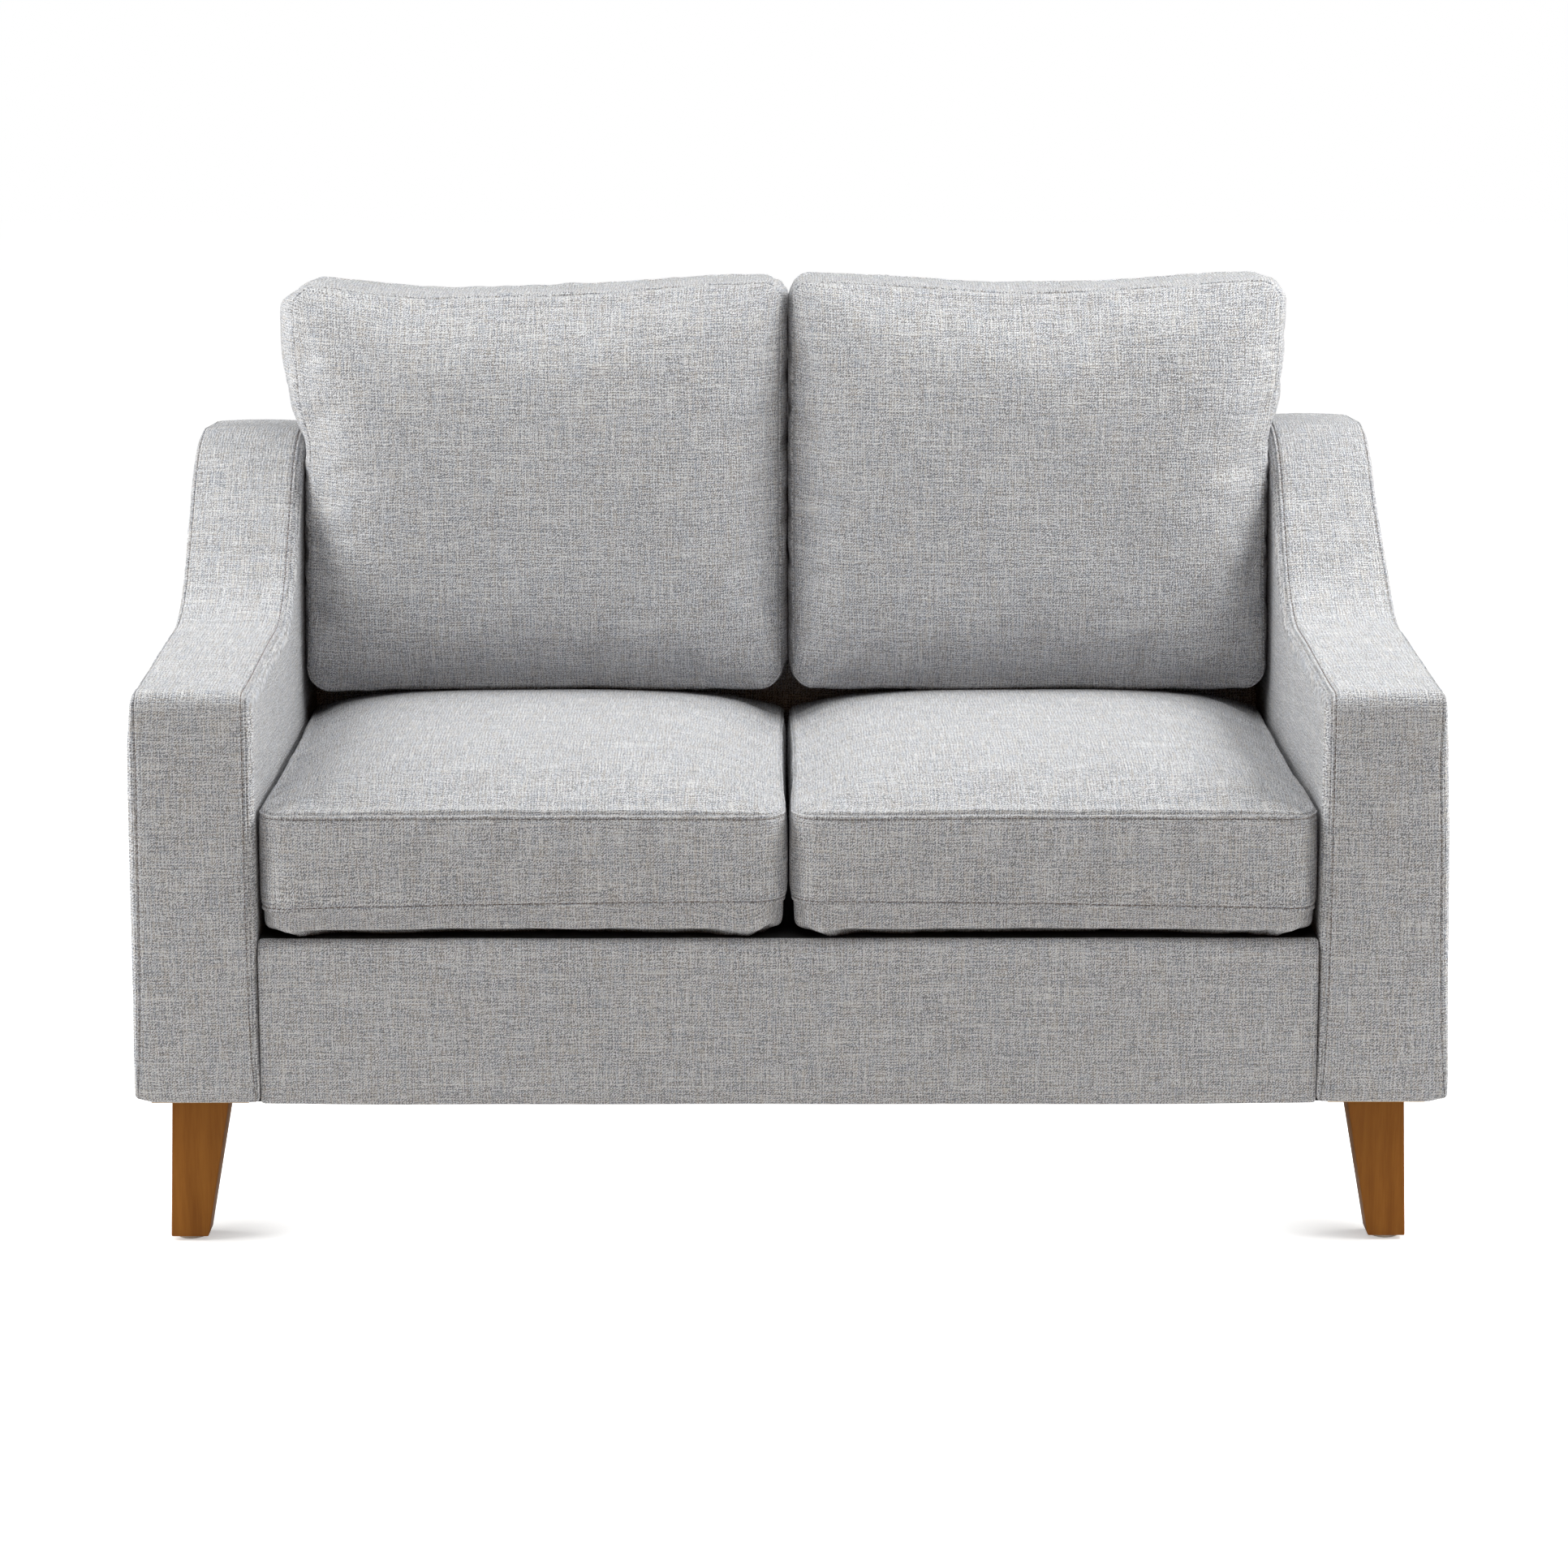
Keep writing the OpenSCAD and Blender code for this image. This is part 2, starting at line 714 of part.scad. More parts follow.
// Closed surface of a boxed cushion. levels holds [share, height, puff] from the
// bottom up, and place() turns a point of the cushion into one of the settee
module cushion_form(half, r, pulls, belly, box, crown, belly_power, power, place) {
  levels = concat(
    [for (s = ring_shares) [s, -box / 2 - belly * crown_at(s, belly_power), 0]],
    [[1, -box / 2, 0], [1, -box / 4, box_puff], [1, box / 4, box_puff], [1, box / 2, 0]],
    [for (i = [len(ring_shares) - 1:-1:0])
      [ring_shares[i], box / 2 + crown * crown_at(ring_shares[i], power), 0]]
  );
  n = 4 * (corner_steps + 1 + side_steps);
  top_pole = len(levels) * n;
  points = concat(
    join([for (l = levels)
      [for (p = cushion_ring(half, r, pulls, l[0], l[2])) place(p.x, p.y, l[1])]]),
    [place(0, 0, box / 2 + crown), place(0, 0, -box / 2 - belly)]
  );
  at = function(i, j) i * n + j % n;
  faces = concat(
    join([for (i = [0:len(levels) - 2], j = [0:n - 1])
      quad(at(i, j), at(i + 1, j), at(i + 1, j + 1), at(i, j + 1))]),
    [for (j = [0:n - 1]) [top_pole, at(len(levels) - 1, j + 1), at(len(levels) - 1, j)]],
    [for (j = [0:n - 1]) [top_pole + 1, at(0, j), at(0, j + 1)]]
  );
  polyhedron(points, faces);
}

seat_mid_z = seat_low_seam + seat_box_h / 2;
core_half_w = cushion_half_w - seat_pull - wadding_t;

// Right seat cushion's outer form, flat underneath where it rests on the deck
module seat_form() {
  cushion_form(
    [cushion_half_w, seat_half_d], seat_corner_r, [seat_pull, seat_pull, seat_pull, seat_pull],
    seat_belly, seat_box_h, seat_crown, flat_power, crown_power,
    function(x, y, z) [cushion_x + x, seat_mid_y + y, seat_mid_z + z]);
}

// Space of a seat core, grown by clear on every side
module seat_core_space(clear) {
  half = [core_half_w, seat_half_d - seat_pull - wadding_t, seat_box_h / 2]
    + clear * [1, 1, 1];
  middle = [cushion_x, seat_mid_y, seat_mid_z];
  block(middle - half, middle + half);
}

// Space of a zip in the middle of the seat's rear boxing
module seat_zip_space(clear, back_end) {
  half_w = core_half_w / 2 + clear;
  block([cushion_x - half_w, seat_zip_y - clear, seat_mid_z - zip_w / 2 - clear],
        [cushion_x + half_w, back_end, seat_mid_z + zip_w / 2 + clear]);
}

seat_zip_y = seat_rear_y - seat_pull - box_puff - zip_t;

module seat_cushion_cover() {
  color(upholstery_pale) difference() {
    seat_form();
    seat_core_space(fit);
    seat_zip_space(fit, seat_rear_y + over);
  }
}

module seat_cushion_core() {
  color(foam) seat_core_space(0);
}

// Zip tape with its slider near one end
module seat_cushion_zip() {
  color(steel) {
    seat_zip_space(0, seat_zip_y + zip_t);
    slider = zip_w / 4;
    x = cushion_x + core_half_w / 2 - zip_w;
    block([x - slider, seat_zip_y, seat_mid_z - slider],
          [x + slider, seat_zip_y + 1.5 * zip_t, seat_mid_z + slider]);
  }
}

back_rear_off = back_belly + rest_gap;

// Depth of the boxing's middle plane of a back cushion at height z
function back_plane_y(z) = lean_y(z) - back_rear_off - back_box_w / 2;

// Outward spread of the outer top corner: none at the arm's crest, full at the top
function flare_at(z) = back_flare
  * max(0, (z - arm_crest_h) / (back_cushion_h - arm_crest_h));

// Right back cushion's outer form. Its plan stands upright and leans with the back
module back_form() {
  cushion_form(
    [cushion_half_w, back_half_h], back_corner_r, [back_pull, back_pull, 0, back_pull],
    back_belly, back_box_w, back_crown, flat_power, crown_power,
    function(x, y, z) let (h = back_mid_z + y) [
      cushion_x + x * (1 + max(0, x) / cushion_half_w * flare_at(h) / cushion_half_w),
      back_plane_y(h) - z,
      h
    ]);
}

// Leaning space of a back core, grown by clear on every side
module back_core_space(clear) {
  half_w = core_half_w + clear;
  half_h = back_half_h - back_pull - wadding_t + clear;
  half_t = back_box_w / 2 + clear;
  low = back_mid_z - half_h;
  high = back_mid_z + half_h;
  along_x(cushion_x - half_w, cushion_x + half_w) polygon([
    [back_plane_y(low) - half_t, low],
    [back_plane_y(low) + half_t, low],
    [back_plane_y(high) + half_t, high],
    [back_plane_y(high) - half_t, high]
  ]);
}

back_zip_z = back_foot_z + box_puff + 2 * zip_t;

// Space of a zip in the middle of the bottom boxing
module back_zip_space(clear, foot) {
  half_w = core_half_w / 2 + clear;
  y = back_plane_y(back_foot_z);
  block([cushion_x - half_w, y - zip_w / 2 - clear, foot],
        [cushion_x + half_w, y + zip_w / 2 + clear, back_zip_z + clear]);
}

module back_cushion_cover() {
  color(upholstery_pale) difference() {
    back_form();
    back_core_space(fit);
    back_zip_space(fit, back_foot_z - over);
  }
}

module back_cushion_core() {
  color(foam) back_core_space(0);
}

module back_cushion_zip() {
  slider = zip_w / 4;
  x = cushion_x + core_half_w / 2 - zip_w;
  y = back_plane_y(back_foot_z);
  color(steel) {
    back_zip_space(0, back_zip_z - zip_t);
    block([x - slider, y - slider, back_zip_z - 1.5 * zip_t], [x + slider, y + slider, back_zip_z]);
  }
}

on_left() arm_cover();  // arm_cover_left
arm_cover();  // arm_cover_right
on_left() arm_outer_panel();  // arm_outer_panel_left
arm_outer_panel();  // arm_outer_panel_right
on_left() arm_inner_panel();  // arm_inner_panel_left
arm_inner_panel();  // arm_inner_panel_right
on_left() arm_base_board();  // arm_base_board_left
arm_base_board();  // arm_base_board_right
on_left() arm_front_post();  // arm_front_post_left
arm_front_post();  // arm_front_post_right
on_left() arm_rear_post();  // arm_rear_post_left
arm_rear_post();  // arm_rear_post_right
on_left() arm_top_boards();  // arm_top_boards_left
arm_top_boards();  // arm_top_boards_right
seat_front_rail();
seat_back_rail();
seat_centre_brace();
seat_corner_blocks();
seat_springs();
spring_clips();
spring_tie_rods();
seat_deck();
on_left() back_post();  // back_post_left
back_post();  // back_post_right
back_top_rail();
back_lower_rail();
back_centre_stile();
outside_back_rail();
back_webbing();
front_rail_cover();
inside_back_cover();
outside_back_cover();
dust_cover();
on_left() right_front() leg();  // leg_front_left
right_front() leg();  // leg_front_right
on_left() right_rear() leg();  // leg_rear_left
right_rear() leg();  // leg_rear_right
leg_bolts();
tee_nuts();
foot_glides();
frame_bolts();
on_left() seat_cushion_cover();  // seat_cushion_cover_left
seat_cushion_cover();  // seat_cushion_cover_right
on_left() seat_cushion_core();  // seat_cushion_core_left
seat_cushion_core();  // seat_cushion_core_right
on_left() seat_cushion_zip();  // seat_cushion_zip_left
seat_cushion_zip();  // seat_cushion_zip_right
on_left() back_cushion_cover();  // back_cushion_cover_left
back_cushion_cover();  // back_cushion_cover_right
on_left() back_cushion_core();  // back_cushion_core_left
back_cushion_core();  // back_cushion_core_right
on_left() back_cushion_zip();  // back_cushion_zip_left
back_cushion_zip();  // back_cushion_zip_right
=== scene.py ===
"""Upholstery, loose cushions, legs, finishes and studio of a high back settee."""

import math
from functools import partial

import bpy
import numpy as np
from bpy.props import FloatProperty, FloatVectorProperty, PointerProperty
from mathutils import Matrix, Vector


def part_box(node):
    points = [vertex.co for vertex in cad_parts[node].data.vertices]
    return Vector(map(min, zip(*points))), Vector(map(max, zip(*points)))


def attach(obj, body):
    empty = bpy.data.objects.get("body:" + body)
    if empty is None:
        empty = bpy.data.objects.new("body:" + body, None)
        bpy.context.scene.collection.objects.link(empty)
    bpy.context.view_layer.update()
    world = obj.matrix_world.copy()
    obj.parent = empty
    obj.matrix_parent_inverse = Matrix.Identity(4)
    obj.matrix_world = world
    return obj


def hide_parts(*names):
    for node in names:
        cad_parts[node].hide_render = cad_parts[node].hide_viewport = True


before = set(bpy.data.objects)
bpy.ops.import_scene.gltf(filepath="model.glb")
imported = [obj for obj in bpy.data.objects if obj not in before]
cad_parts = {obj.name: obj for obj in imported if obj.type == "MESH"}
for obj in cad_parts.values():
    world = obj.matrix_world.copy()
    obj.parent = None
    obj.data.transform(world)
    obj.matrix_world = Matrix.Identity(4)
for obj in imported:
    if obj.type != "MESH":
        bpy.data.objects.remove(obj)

bl_info = {
    "name": "High back settee",
    "version": (1, 0, 0),
    "blender": (4, 5, 0),
    "location": "3D View > Sidebar > Settee",
    "description": "Upholstery, loose cushions, legs and finishes of a high back settee",
    "category": "Object",
}

CLOTH_UV = "Cloth"
SIDES = {"left": -1, "right": 1}
ARM_LOW, ARM_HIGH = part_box("arm_cover_right")
RAIL_LOW, RAIL_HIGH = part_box("front_rail_cover")
BACK_LOW, BACK_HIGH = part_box("inside_back_cover")
OUTBACK_LOW, OUTBACK_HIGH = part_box("outside_back_cover")
DECK_LOW, DECK_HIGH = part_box("seat_deck")
DUST_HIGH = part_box("dust_cover")[1]
SEAT_LOW, SEAT_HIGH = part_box("seat_cushion_cover_right")
CUSHION_LOW, CUSHION_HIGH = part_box("back_cushion_cover_right")
DEPTH = ARM_HIGH.y - ARM_LOW.y
BACK_LEAN = math.tan(math.radians(8))
CUSHION_WIDTH = SEAT_HIGH.x - SEAT_LOW.x
WELD = 1e-6

# How far each arm's outer side swells, how much more it stands out at the foot, how far
# it draws in at the crest, and how far the crest rises
SETTLING = {"left": (0.0045, 0.001, 0.0, -0.0035), "right": (0.0025, 0.0095, 0.009, 0.0035)}

# Creases in each arm's scoop: how far each lies past the first, its width, its share of
# the full depth, and how far it reaches across towards the outer side
CREASES = {
    "left": ((0.0, 0.0055, 1.0, 0.95), (0.039, 0.0065, 0.9, 0.95)),
    "right": ((0.104, 0.007, 0.9, 0.55),),
}

# How far each back cushion's top dips, how far its boxing bulges over the arm, and how
# far its top is raised
BACK_TOPS = {"left": (0.0100, 0.010, 0.0022), "right": (0.0, 0.001, 0.0040)}


# Shapes

def unit(vectors):
    """Vectors divided by their own lengths."""
    return vectors / np.maximum(np.linalg.norm(vectors, axis=-1, keepdims=True), 1e-12)


def ease(share):
    """Smooth step from 0 to 1: three times the square less twice the cube."""
    share = np.clip(share, 0, 1)
    return share * share * (3 - 2 * share)


def bell(distance, width):
    """Bell curve of height 1: e to the minus square of distance over width."""
    return np.exp(-(distance / width) ** 2)


def lengths(line):
    """Length along a line of points up to each of them."""
    steps = np.linalg.norm(np.diff(line, axis=0), axis=-1)
    return np.concatenate([[0], np.cumsum(steps)])


def grid_normals(points):
    """Unit normals of a grid of points: the cross product of its steps both ways."""
    return unit(np.cross(np.gradient(points, axis=0), np.gradient(points, axis=1)))


def ripple(points, seed, length, count=7):
    """Gentle unevenness from -1 to 1: the mean of several sine waves about length
    long, whose directions, lengths and starts are drawn from a seed."""
    draw = np.random.default_rng(seed)
    ways = unit(draw.normal(size=(count, points.shape[-1])))
    pitch = length * draw.uniform(0.7, 1.5, count)
    start = draw.uniform(0, 2 * np.pi, count)
    return np.sin(points @ (ways / pitch[:, None]).T * 2 * np.pi + start).mean(-1)


def fill_between(left, right, low, high):
    """Grid between four border lines: the blend of left and right, plus the blend of
    low and high, less the blend of the four corners."""
    across = lengths(high)
    across = (across / across[-1])[:, None, None]
    up = lengths(left)
    up = (up / up[-1])[None, :, None]
    corners = ((1 - across) * ((1 - up) * left[0] + up * left[-1])
               + across * ((1 - up) * right[0] + up * right[-1]))
    return ((1 - across) * left + across * right
            + (1 - up) * low[:, None] + up * high[:, None] - corners)


def resample(field, place, wrap=False):
    """Rows of a field read at fractional places along its first axis, on the smooth
    cubic that runs through each four neighbouring rows."""
    count = len(field)
    row = np.clip(np.floor(place).astype(int), 0, count - 1 if wrap else count - 2)
    t = (place - row).reshape((-1,) + (1,) * (field.ndim - 1))

    def at(step):
        index = (row + step) % count if wrap else np.clip(row + step, 0, count - 1)
        return field[index]

    before, here, after, beyond = at(-1), at(0), at(1), at(2)
    return here + 0.5 * t * (after - before + t * (
        2 * before - 5 * here + 4 * after - beyond + t * (3 * (here - after) + beyond - before)))


def arc(centre, radius, start, end, count=40):
    """Points on a circle between two angles in degrees."""
    angle = np.radians(np.linspace(start, end, count))
    return np.array(centre) + radius * np.stack([np.cos(angle), np.sin(angle)], -1)


def read_line(values, along, places):
    """A line's points, or its normals, read at places along it."""
    return np.stack([np.interp(places, along, column) for column in values.T], -1)


def even_line(line, step=0.0005):
    """The same line with points a short even step apart."""
    along = lengths(line)
    keep = np.concatenate([[True], np.diff(along) > 1e-9])
    line, along = line[keep], along[keep]
    return read_line(line, along, np.linspace(0, along[-1], int(along[-1] / step)))


def line_normals(line):
    """Unit normals of a flat line, to the left of its direction."""
    along = unit(np.gradient(line, axis=0))
    return np.stack([-along[:, 1], along[:, 0]], -1)


# Meshes

def mesh_object(name, grids):
    """One mesh of several (points, cloth coordinates) grids. Every grid square is a
    face, and corners that lie in one place are welded."""
    points = np.concatenate([grid.reshape(-1, 3) for grid, _ in grids])
    keys = np.round(points / WELD).astype(np.int64)
    _, first, index = np.unique(keys, axis=0, return_index=True, return_inverse=True)
    index = index.reshape(-1)
    faces, cloth, start = [], [], 0
    for grid, coordinates in grids:
        ids = np.arange(grid.shape[0] * grid.shape[1]).reshape(grid.shape[:2])
        quads = np.stack([ids[:-1, :-1], ids[1:, :-1], ids[1:, 1:], ids[:-1, 1:]], -1)
        quads = quads.reshape(-1, 4)
        faces.append(index[start + quads])
        cloth.append(coordinates.reshape(-1, 2)[quads])
        start += ids.size
    faces = np.concatenate(faces)
    cloth = np.concatenate(cloth)
    mesh = bpy.data.meshes.new(name)
    mesh.vertices.add(len(first))
    mesh.vertices.foreach_set("co", points[first].ravel())
    mesh.loops.add(faces.size)
    mesh.loops.foreach_set("vertex_index", faces.ravel())
    mesh.polygons.add(len(faces))
    mesh.polygons.foreach_set("loop_start", np.arange(0, faces.size, 4))
    mesh.polygons.foreach_set("use_smooth", np.ones(len(faces), bool))
    layer = mesh.uv_layers.new(name=CLOTH_UV)
    layer.data.foreach_set("uv", cloth.ravel())
    mesh.update(calc_edges=True)
    mesh.validate()
    return linked(name, mesh), index


def linked(name, data):
    """Object of the given data, linked to the scene."""
    made = bpy.data.objects.new(name, data)
    bpy.context.scene.collection.objects.link(made)
    return made


def copies(name, points, faces, frames, places):
    """One mesh of a small closed shape set many times: points turned by each frame of
    three axes and moved to its place."""
    turned = np.einsum("pk,nkd->npd", points, frames) + places[:, None]
    count, size = turned.shape[:2]
    mesh = bpy.data.meshes.new(name)
    shifts = (np.arange(count) * size)[:, None]
    every = []
    for corners in faces:
        corners = np.array(corners)
        every += (shifts[:, None] + corners[None]).reshape(-1, corners.shape[1]).tolist()
    mesh.from_pydata(turned.reshape(-1, 3).tolist(), [], every)
    mesh.polygons.foreach_set("use_smooth", np.ones(len(mesh.polygons), bool))
    mesh.update()
    return linked(name, mesh)


def rings_with_caps(rings):
    """Points and faces of a tube of rings, closed by a flat face at both ends."""
    count, corners = rings.shape[:2]
    ids = np.arange(count * corners).reshape(count, corners)
    after = np.roll(ids, -1, 1)
    walls = np.stack([ids[:-1], after[:-1], after[1:], ids[1:]], -1).reshape(-1, 4)
    caps = np.stack([ids[0, ::-1], ids[-1]])
    return rings.reshape(-1, 3), [walls, caps]


def finish_piece(piece, material, body, slot, *replaced):
    """Gives a piece its finish and body, and hides the CAD nodes it stands for. The slot is not used."""
    piece.data.materials.clear()
    piece.data.materials.append(material)
    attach(piece, body)
    if replaced:
        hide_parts(*replaced)
    return piece


def thicken(piece, thickness):
    """Gives a sheet its thickness on the inner side."""
    shell = piece.modifiers.new("Padding", "SOLIDIFY")
    shell.thickness = thickness
    shell.offset = -1


# Materials

class Sock:
    """A socket of a node that takes part in sums as a number does."""

    def __init__(self, nodes, socket):
        self.nodes = nodes
        self.socket = socket

    def math(self, operation, other=0.0, swap=False):
        pair = (other, self) if swap else (self, other)
        return self.nodes.out(
            self.nodes.node("Math", {"operation": operation}, {0: pair[0], 1: pair[1]}))

    def __add__(self, other):
        return self.math("ADD", other)

    def __sub__(self, other):
        return self.math("SUBTRACT", other)

    def __mul__(self, other):
        return self.math("MULTIPLY", other)

    def __truediv__(self, other):
        return self.math("DIVIDE", other)

    def __rsub__(self, other):
        return self.math("SUBTRACT", other, swap=True)

    __radd__ = __add__
    __rmul__ = __mul__

    def sine(self):
        return self.math("SINE")

    def root(self):
        return self.math("SQRT")

    def between(self, low, high):
        """0 below low, 1 above high and a smooth rise from one to the other."""
        return self.nodes.out(self.nodes.node(
            "MapRange", {"interpolation_type": "SMOOTHSTEP"}, {0: self, 1: low, 2: high}))


class Nodes:
    """Shader nodes of a material or of the world."""

    def __init__(self, tree):
        self.tree = tree

    def node(self, kind, settings=None, sockets=None):
        """A node of a kind with its settings, then its sockets' values or links."""
        node = self.tree.nodes.new("ShaderNode" + kind)
        for key, value in (settings or {}).items():
            setattr(node, key, value)
        for key, value in (sockets or {}).items():
            if isinstance(value, Sock):
                self.tree.links.new(value.socket, node.inputs[key])
            else:
                node.inputs[key].default_value = value
        return node

    def out(self, node, key=0):
        return Sock(self, node.outputs[key])


class Paint(Nodes):
    """One material: a Principled shader, whose fixed values are set on its sockets."""

    def __init__(self, name, **fixed):
        self.material = bpy.data.materials.new(name)
        self.material.use_nodes = True
        super().__init__(self.material.node_tree)
        self.shader = self.tree.nodes["Principled BSDF"]
        for key, value in fixed.items():
            socket = key.replace("_", " ").title().replace("Ior", "IOR")
            self.shader.inputs[socket].default_value = value

    def axes(self, source):
        """The three coordinates of a vector."""
        split = self.node("SeparateXYZ", None, {0: source})
        return [self.out(split, k) for k in range(3)]

    def noise(self, x, y, z=0.0, detail=2.0):
        """Cloudy noise from 0 to 1 at the place x, y, z."""
        place = self.out(self.node("CombineXYZ", None, {0: x, 1: y, 2: z}))
        return self.out(self.node("TexNoise", None, {"Vector": place, "Scale": 1.0, "Detail": detail}))

    def speckle(self, scale, detail=2.0):
        """Cloudy noise of the object's own places times a scale."""
        return self.noise(*[place * scale for place in self.object_places()], detail)

    def mix(self, share, first, second):
        """Blend of two colours, each a socket or three linear values."""
        pair = [each if isinstance(each, Sock) else (*each, 1) for each in (first, second)]
        node = self.node("Mix", {"data_type": "RGBA"}, {0: share, 6: pair[0], 7: pair[1]})
        return self.out(node, 2)

    def cloth_places(self):
        """Places along and across the threads, in metres."""
        return self.axes(self.out(self.node("UVMap", {"uv_map": CLOTH_UV})))[:2]

    def object_places(self):
        return self.axes(self.out(self.node("TexCoord"), "Object"))

    def finish(self, colour, height, depth, strength=0.5, roughness=None):
        """Links the colour, the bump of a height and, where it varies, the roughness."""
        bump = self.node("Bump", None, {"Height": height, "Strength": strength, "Distance": depth})
        self.tree.links.new(colour.socket, self.shader.inputs["Base Color"])
        self.tree.links.new(bump.outputs[0], self.shader.inputs["Normal"])
        if roughness is not None:
            self.tree.links.new(roughness.socket, self.shader.inputs["Roughness"])
        return self.material


def upholstery_cloth(name, look):
    """Melange weave: crossing threads a pitch apart whose course wanders a little,
    fine grain, and long pale, blue and beige threads in both directions."""
    paint = Paint(name, roughness=look.roughness, sheen_weight=look.sheen,
                  specular_ior_level=look.gloss)
    u, v = paint.cloth_places()
    pitch = look.thread_pitch
    turn = 2 * math.pi / pitch
    fibre, long = look.fibre_width, look.slub_length
    wave_share, thread_share, tint_share, slub_share = 0.25, 0.6, 0.38, 0.32

    def threads(a, b, start):
        return paint.noise(a, b, start, detail=0.0)

    wander = paint.noise(u * 90, v * 90, 30.3)
    patch = paint.noise(u * 120, v * 120, 36.6)
    waves = (((u + wander * pitch * 2) * turn).sine() * wave_share
             + ((v - wander * pitch * 2) * turn).sine() * wave_share)
    slant = ((u - v) * turn + wander * 12).sine() * patch.between(0.4, 0.6)
    grain = threads(u / fibre * 0.9, v / fibre * 0.9, 0.0)
    bands = threads(u * 260, v * 260, 44.2)
    weft = threads(u / long, v / fibre, 3.7)
    warp = threads(u / fibre, v / long, 8.1)
    hue = (threads(u / long * 1.6, v / fibre * 0.8, 21.9)
           - threads(u / fibre * 0.8, v / long * 1.6, 27.4))
    tone = (waves + slant * 0.45 + (grain - 0.5) * 4.0 + (bands - 0.5) * 1.1
            + (weft + warp - 1) * thread_share + 0.5)
    colour = paint.mix(tone.between(-0.2, 1.2), look.dark_thread, look.pale_thread)
    for side, tint in ((hue, look.beige_thread), (hue * -1, look.blue_thread)):
        colour = paint.mix(side.between(0.08, 0.3) * tint_share, colour, tint)
    for each in (weft, warp):
        colour = paint.mix(each.between(0.62, 0.72) * slub_share, colour, look.slub_thread)
    height = waves + grain * 1.2 + (weft + warp) * thread_share + bands * 2.0
    return paint.finish(colour, height, depth=look.weave_depth, strength=0.8)


def sewing_thread(name, look):
    """Twisted brown thread: fine slanting plies with painted shade between them. Its own brown is also
    darkened as painted shade of the seam groove it lies in.
    """
    paint = Paint(name, roughness=0.7)
    x, y, z = paint.object_places()
    ply_pitch = 0.0006
    ply = ((x + y + z) * (2 * math.pi / ply_pitch)).sine()
    # Painted shade: the thread darkens between the plies, and the whole thread is darker to carry the
    # groove's shade
    tone = (ply * 0.25 + paint.speckle(900)).between(0.2, 0.9)
    colour = paint.mix(tone, look.thread_painted_shade, look.thread_lit)
    return paint.finish(colour, ply, depth=0.00005)


def leg_timber(name, look):
    """Stained hardwood: fine pores and slow bands drawn out along the leg."""
    paint = Paint(name, roughness=0.5, specular_ior_level=0.16)
    x, y, z = paint.object_places()
    sway = paint.noise(x * 6, y * 6, z * 3)
    bands = paint.noise(x * 55 + sway * 3, y * 55 + sway * 3, z * 3.2, detail=3.0)
    pores = paint.noise(x * 700, y * 700, z * 22, 2.0)
    tone = bands * 0.8 + pores * 0.3
    colour = paint.mix(tone.between(0.30, 0.80), look.wood_dark, look.wood_light)
    colour = paint.mix(pores.between(0.62, 0.80) * 0.45, colour, look.wood_pore)
    return paint.finish(colour, pores * -1, depth=0.0001, strength=0.4,
                        roughness=0.36 + pores * 0.16)


def sawn_timber(name, light, dark, along):
    """Bare sawn timber: rings drawn out along one axis and rough saw marks."""
    paint = Paint(name, roughness=0.8)
    places = paint.object_places()
    stretched = [p * (3 if k == along else 42) for k, p in enumerate(places)]
    rings = paint.noise(*stretched, detail=3.0)
    fibre = paint.noise(*[p * (25 if k == along else 900) for k, p in enumerate(places)])
    colour = paint.mix((rings * 0.8 + fibre * 0.3).between(0.3, 0.8), dark, light)
    return paint.finish(colour, fibre, depth=0.0002, strength=0.5)


def plywood(name):
    """Pale plywood: broad face figure, with thin dark glue lines through its edges."""
    paint = Paint(name, roughness=0.75)
    x, y, z = paint.object_places()
    ply_pitch = 0.005
    plies = (x * (2 * math.pi / ply_pitch)).sine()
    figure = paint.noise(x * 30, y * 5, z * 34, detail=3.0)
    colour = paint.mix(figure.between(0.3, 0.7), (0.55, 0.40, 0.23), (0.71, 0.56, 0.36))
    colour = paint.mix(plies.between(0.75, 1.0) * 0.3, colour, (0.33, 0.22, 0.12))
    return paint.finish(colour, figure, depth=0.0001)


def bright_steel(name, base, scratch, roughness=0.35):
    """Zinc-coated steel: fine crossing scratches over a mottled coat."""
    paint = Paint(name, metallic=1.0, roughness=roughness)
    x, y, z = paint.object_places()
    mottle = paint.speckle(160, detail=3.0)
    lines = paint.noise(x * 1500, y * 90, z * 1500)
    colour = paint.mix((mottle * 0.6 + lines * 0.4).between(0.3, 0.7), scratch, base)
    return paint.finish(colour, lines, depth=0.00003,
                        roughness=roughness - 0.08 + mottle * 0.2)


def woven_black(name, look, pitch, unrolled=True):
    """Plain black lining: threads over and under, a pitch apart, along the cloth's own
    places or, where it has none, along the object's. The sunk threads are painted in
    shade and the raised ones lit."""
    paint = Paint(name, roughness=0.85)
    u, v = paint.cloth_places() if unrolled else paint.object_places()[:2]
    turn = 2 * math.pi / pitch
    weave = (u * turn).sine() * (v * turn).sine()
    dust = paint.noise(u * 40, v * 40)
    # Painted shade: the weave's sunk threads are darker and its raised threads lighter, mixed with a
    # random tone
    colour = paint.mix((weave * 0.4 + dust).between(0.1, 0.9),
                       look.lining_painted_shade, look.lining_lit)
    return paint.finish(colour, weave, depth=0.0001)


def cut_foam(name):
    """Open-cell foam: cream with fine pits."""
    paint = Paint(name, roughness=0.95)
    pits, cloud = paint.speckle(900, detail=1.0), paint.speckle(15)
    colour = paint.mix((pits * 0.7 + cloud * 0.3).between(0.35, 0.65),
                       (0.62, 0.56, 0.36), (0.84, 0.80, 0.62))
    return paint.finish(colour, pits, depth=0.0006)


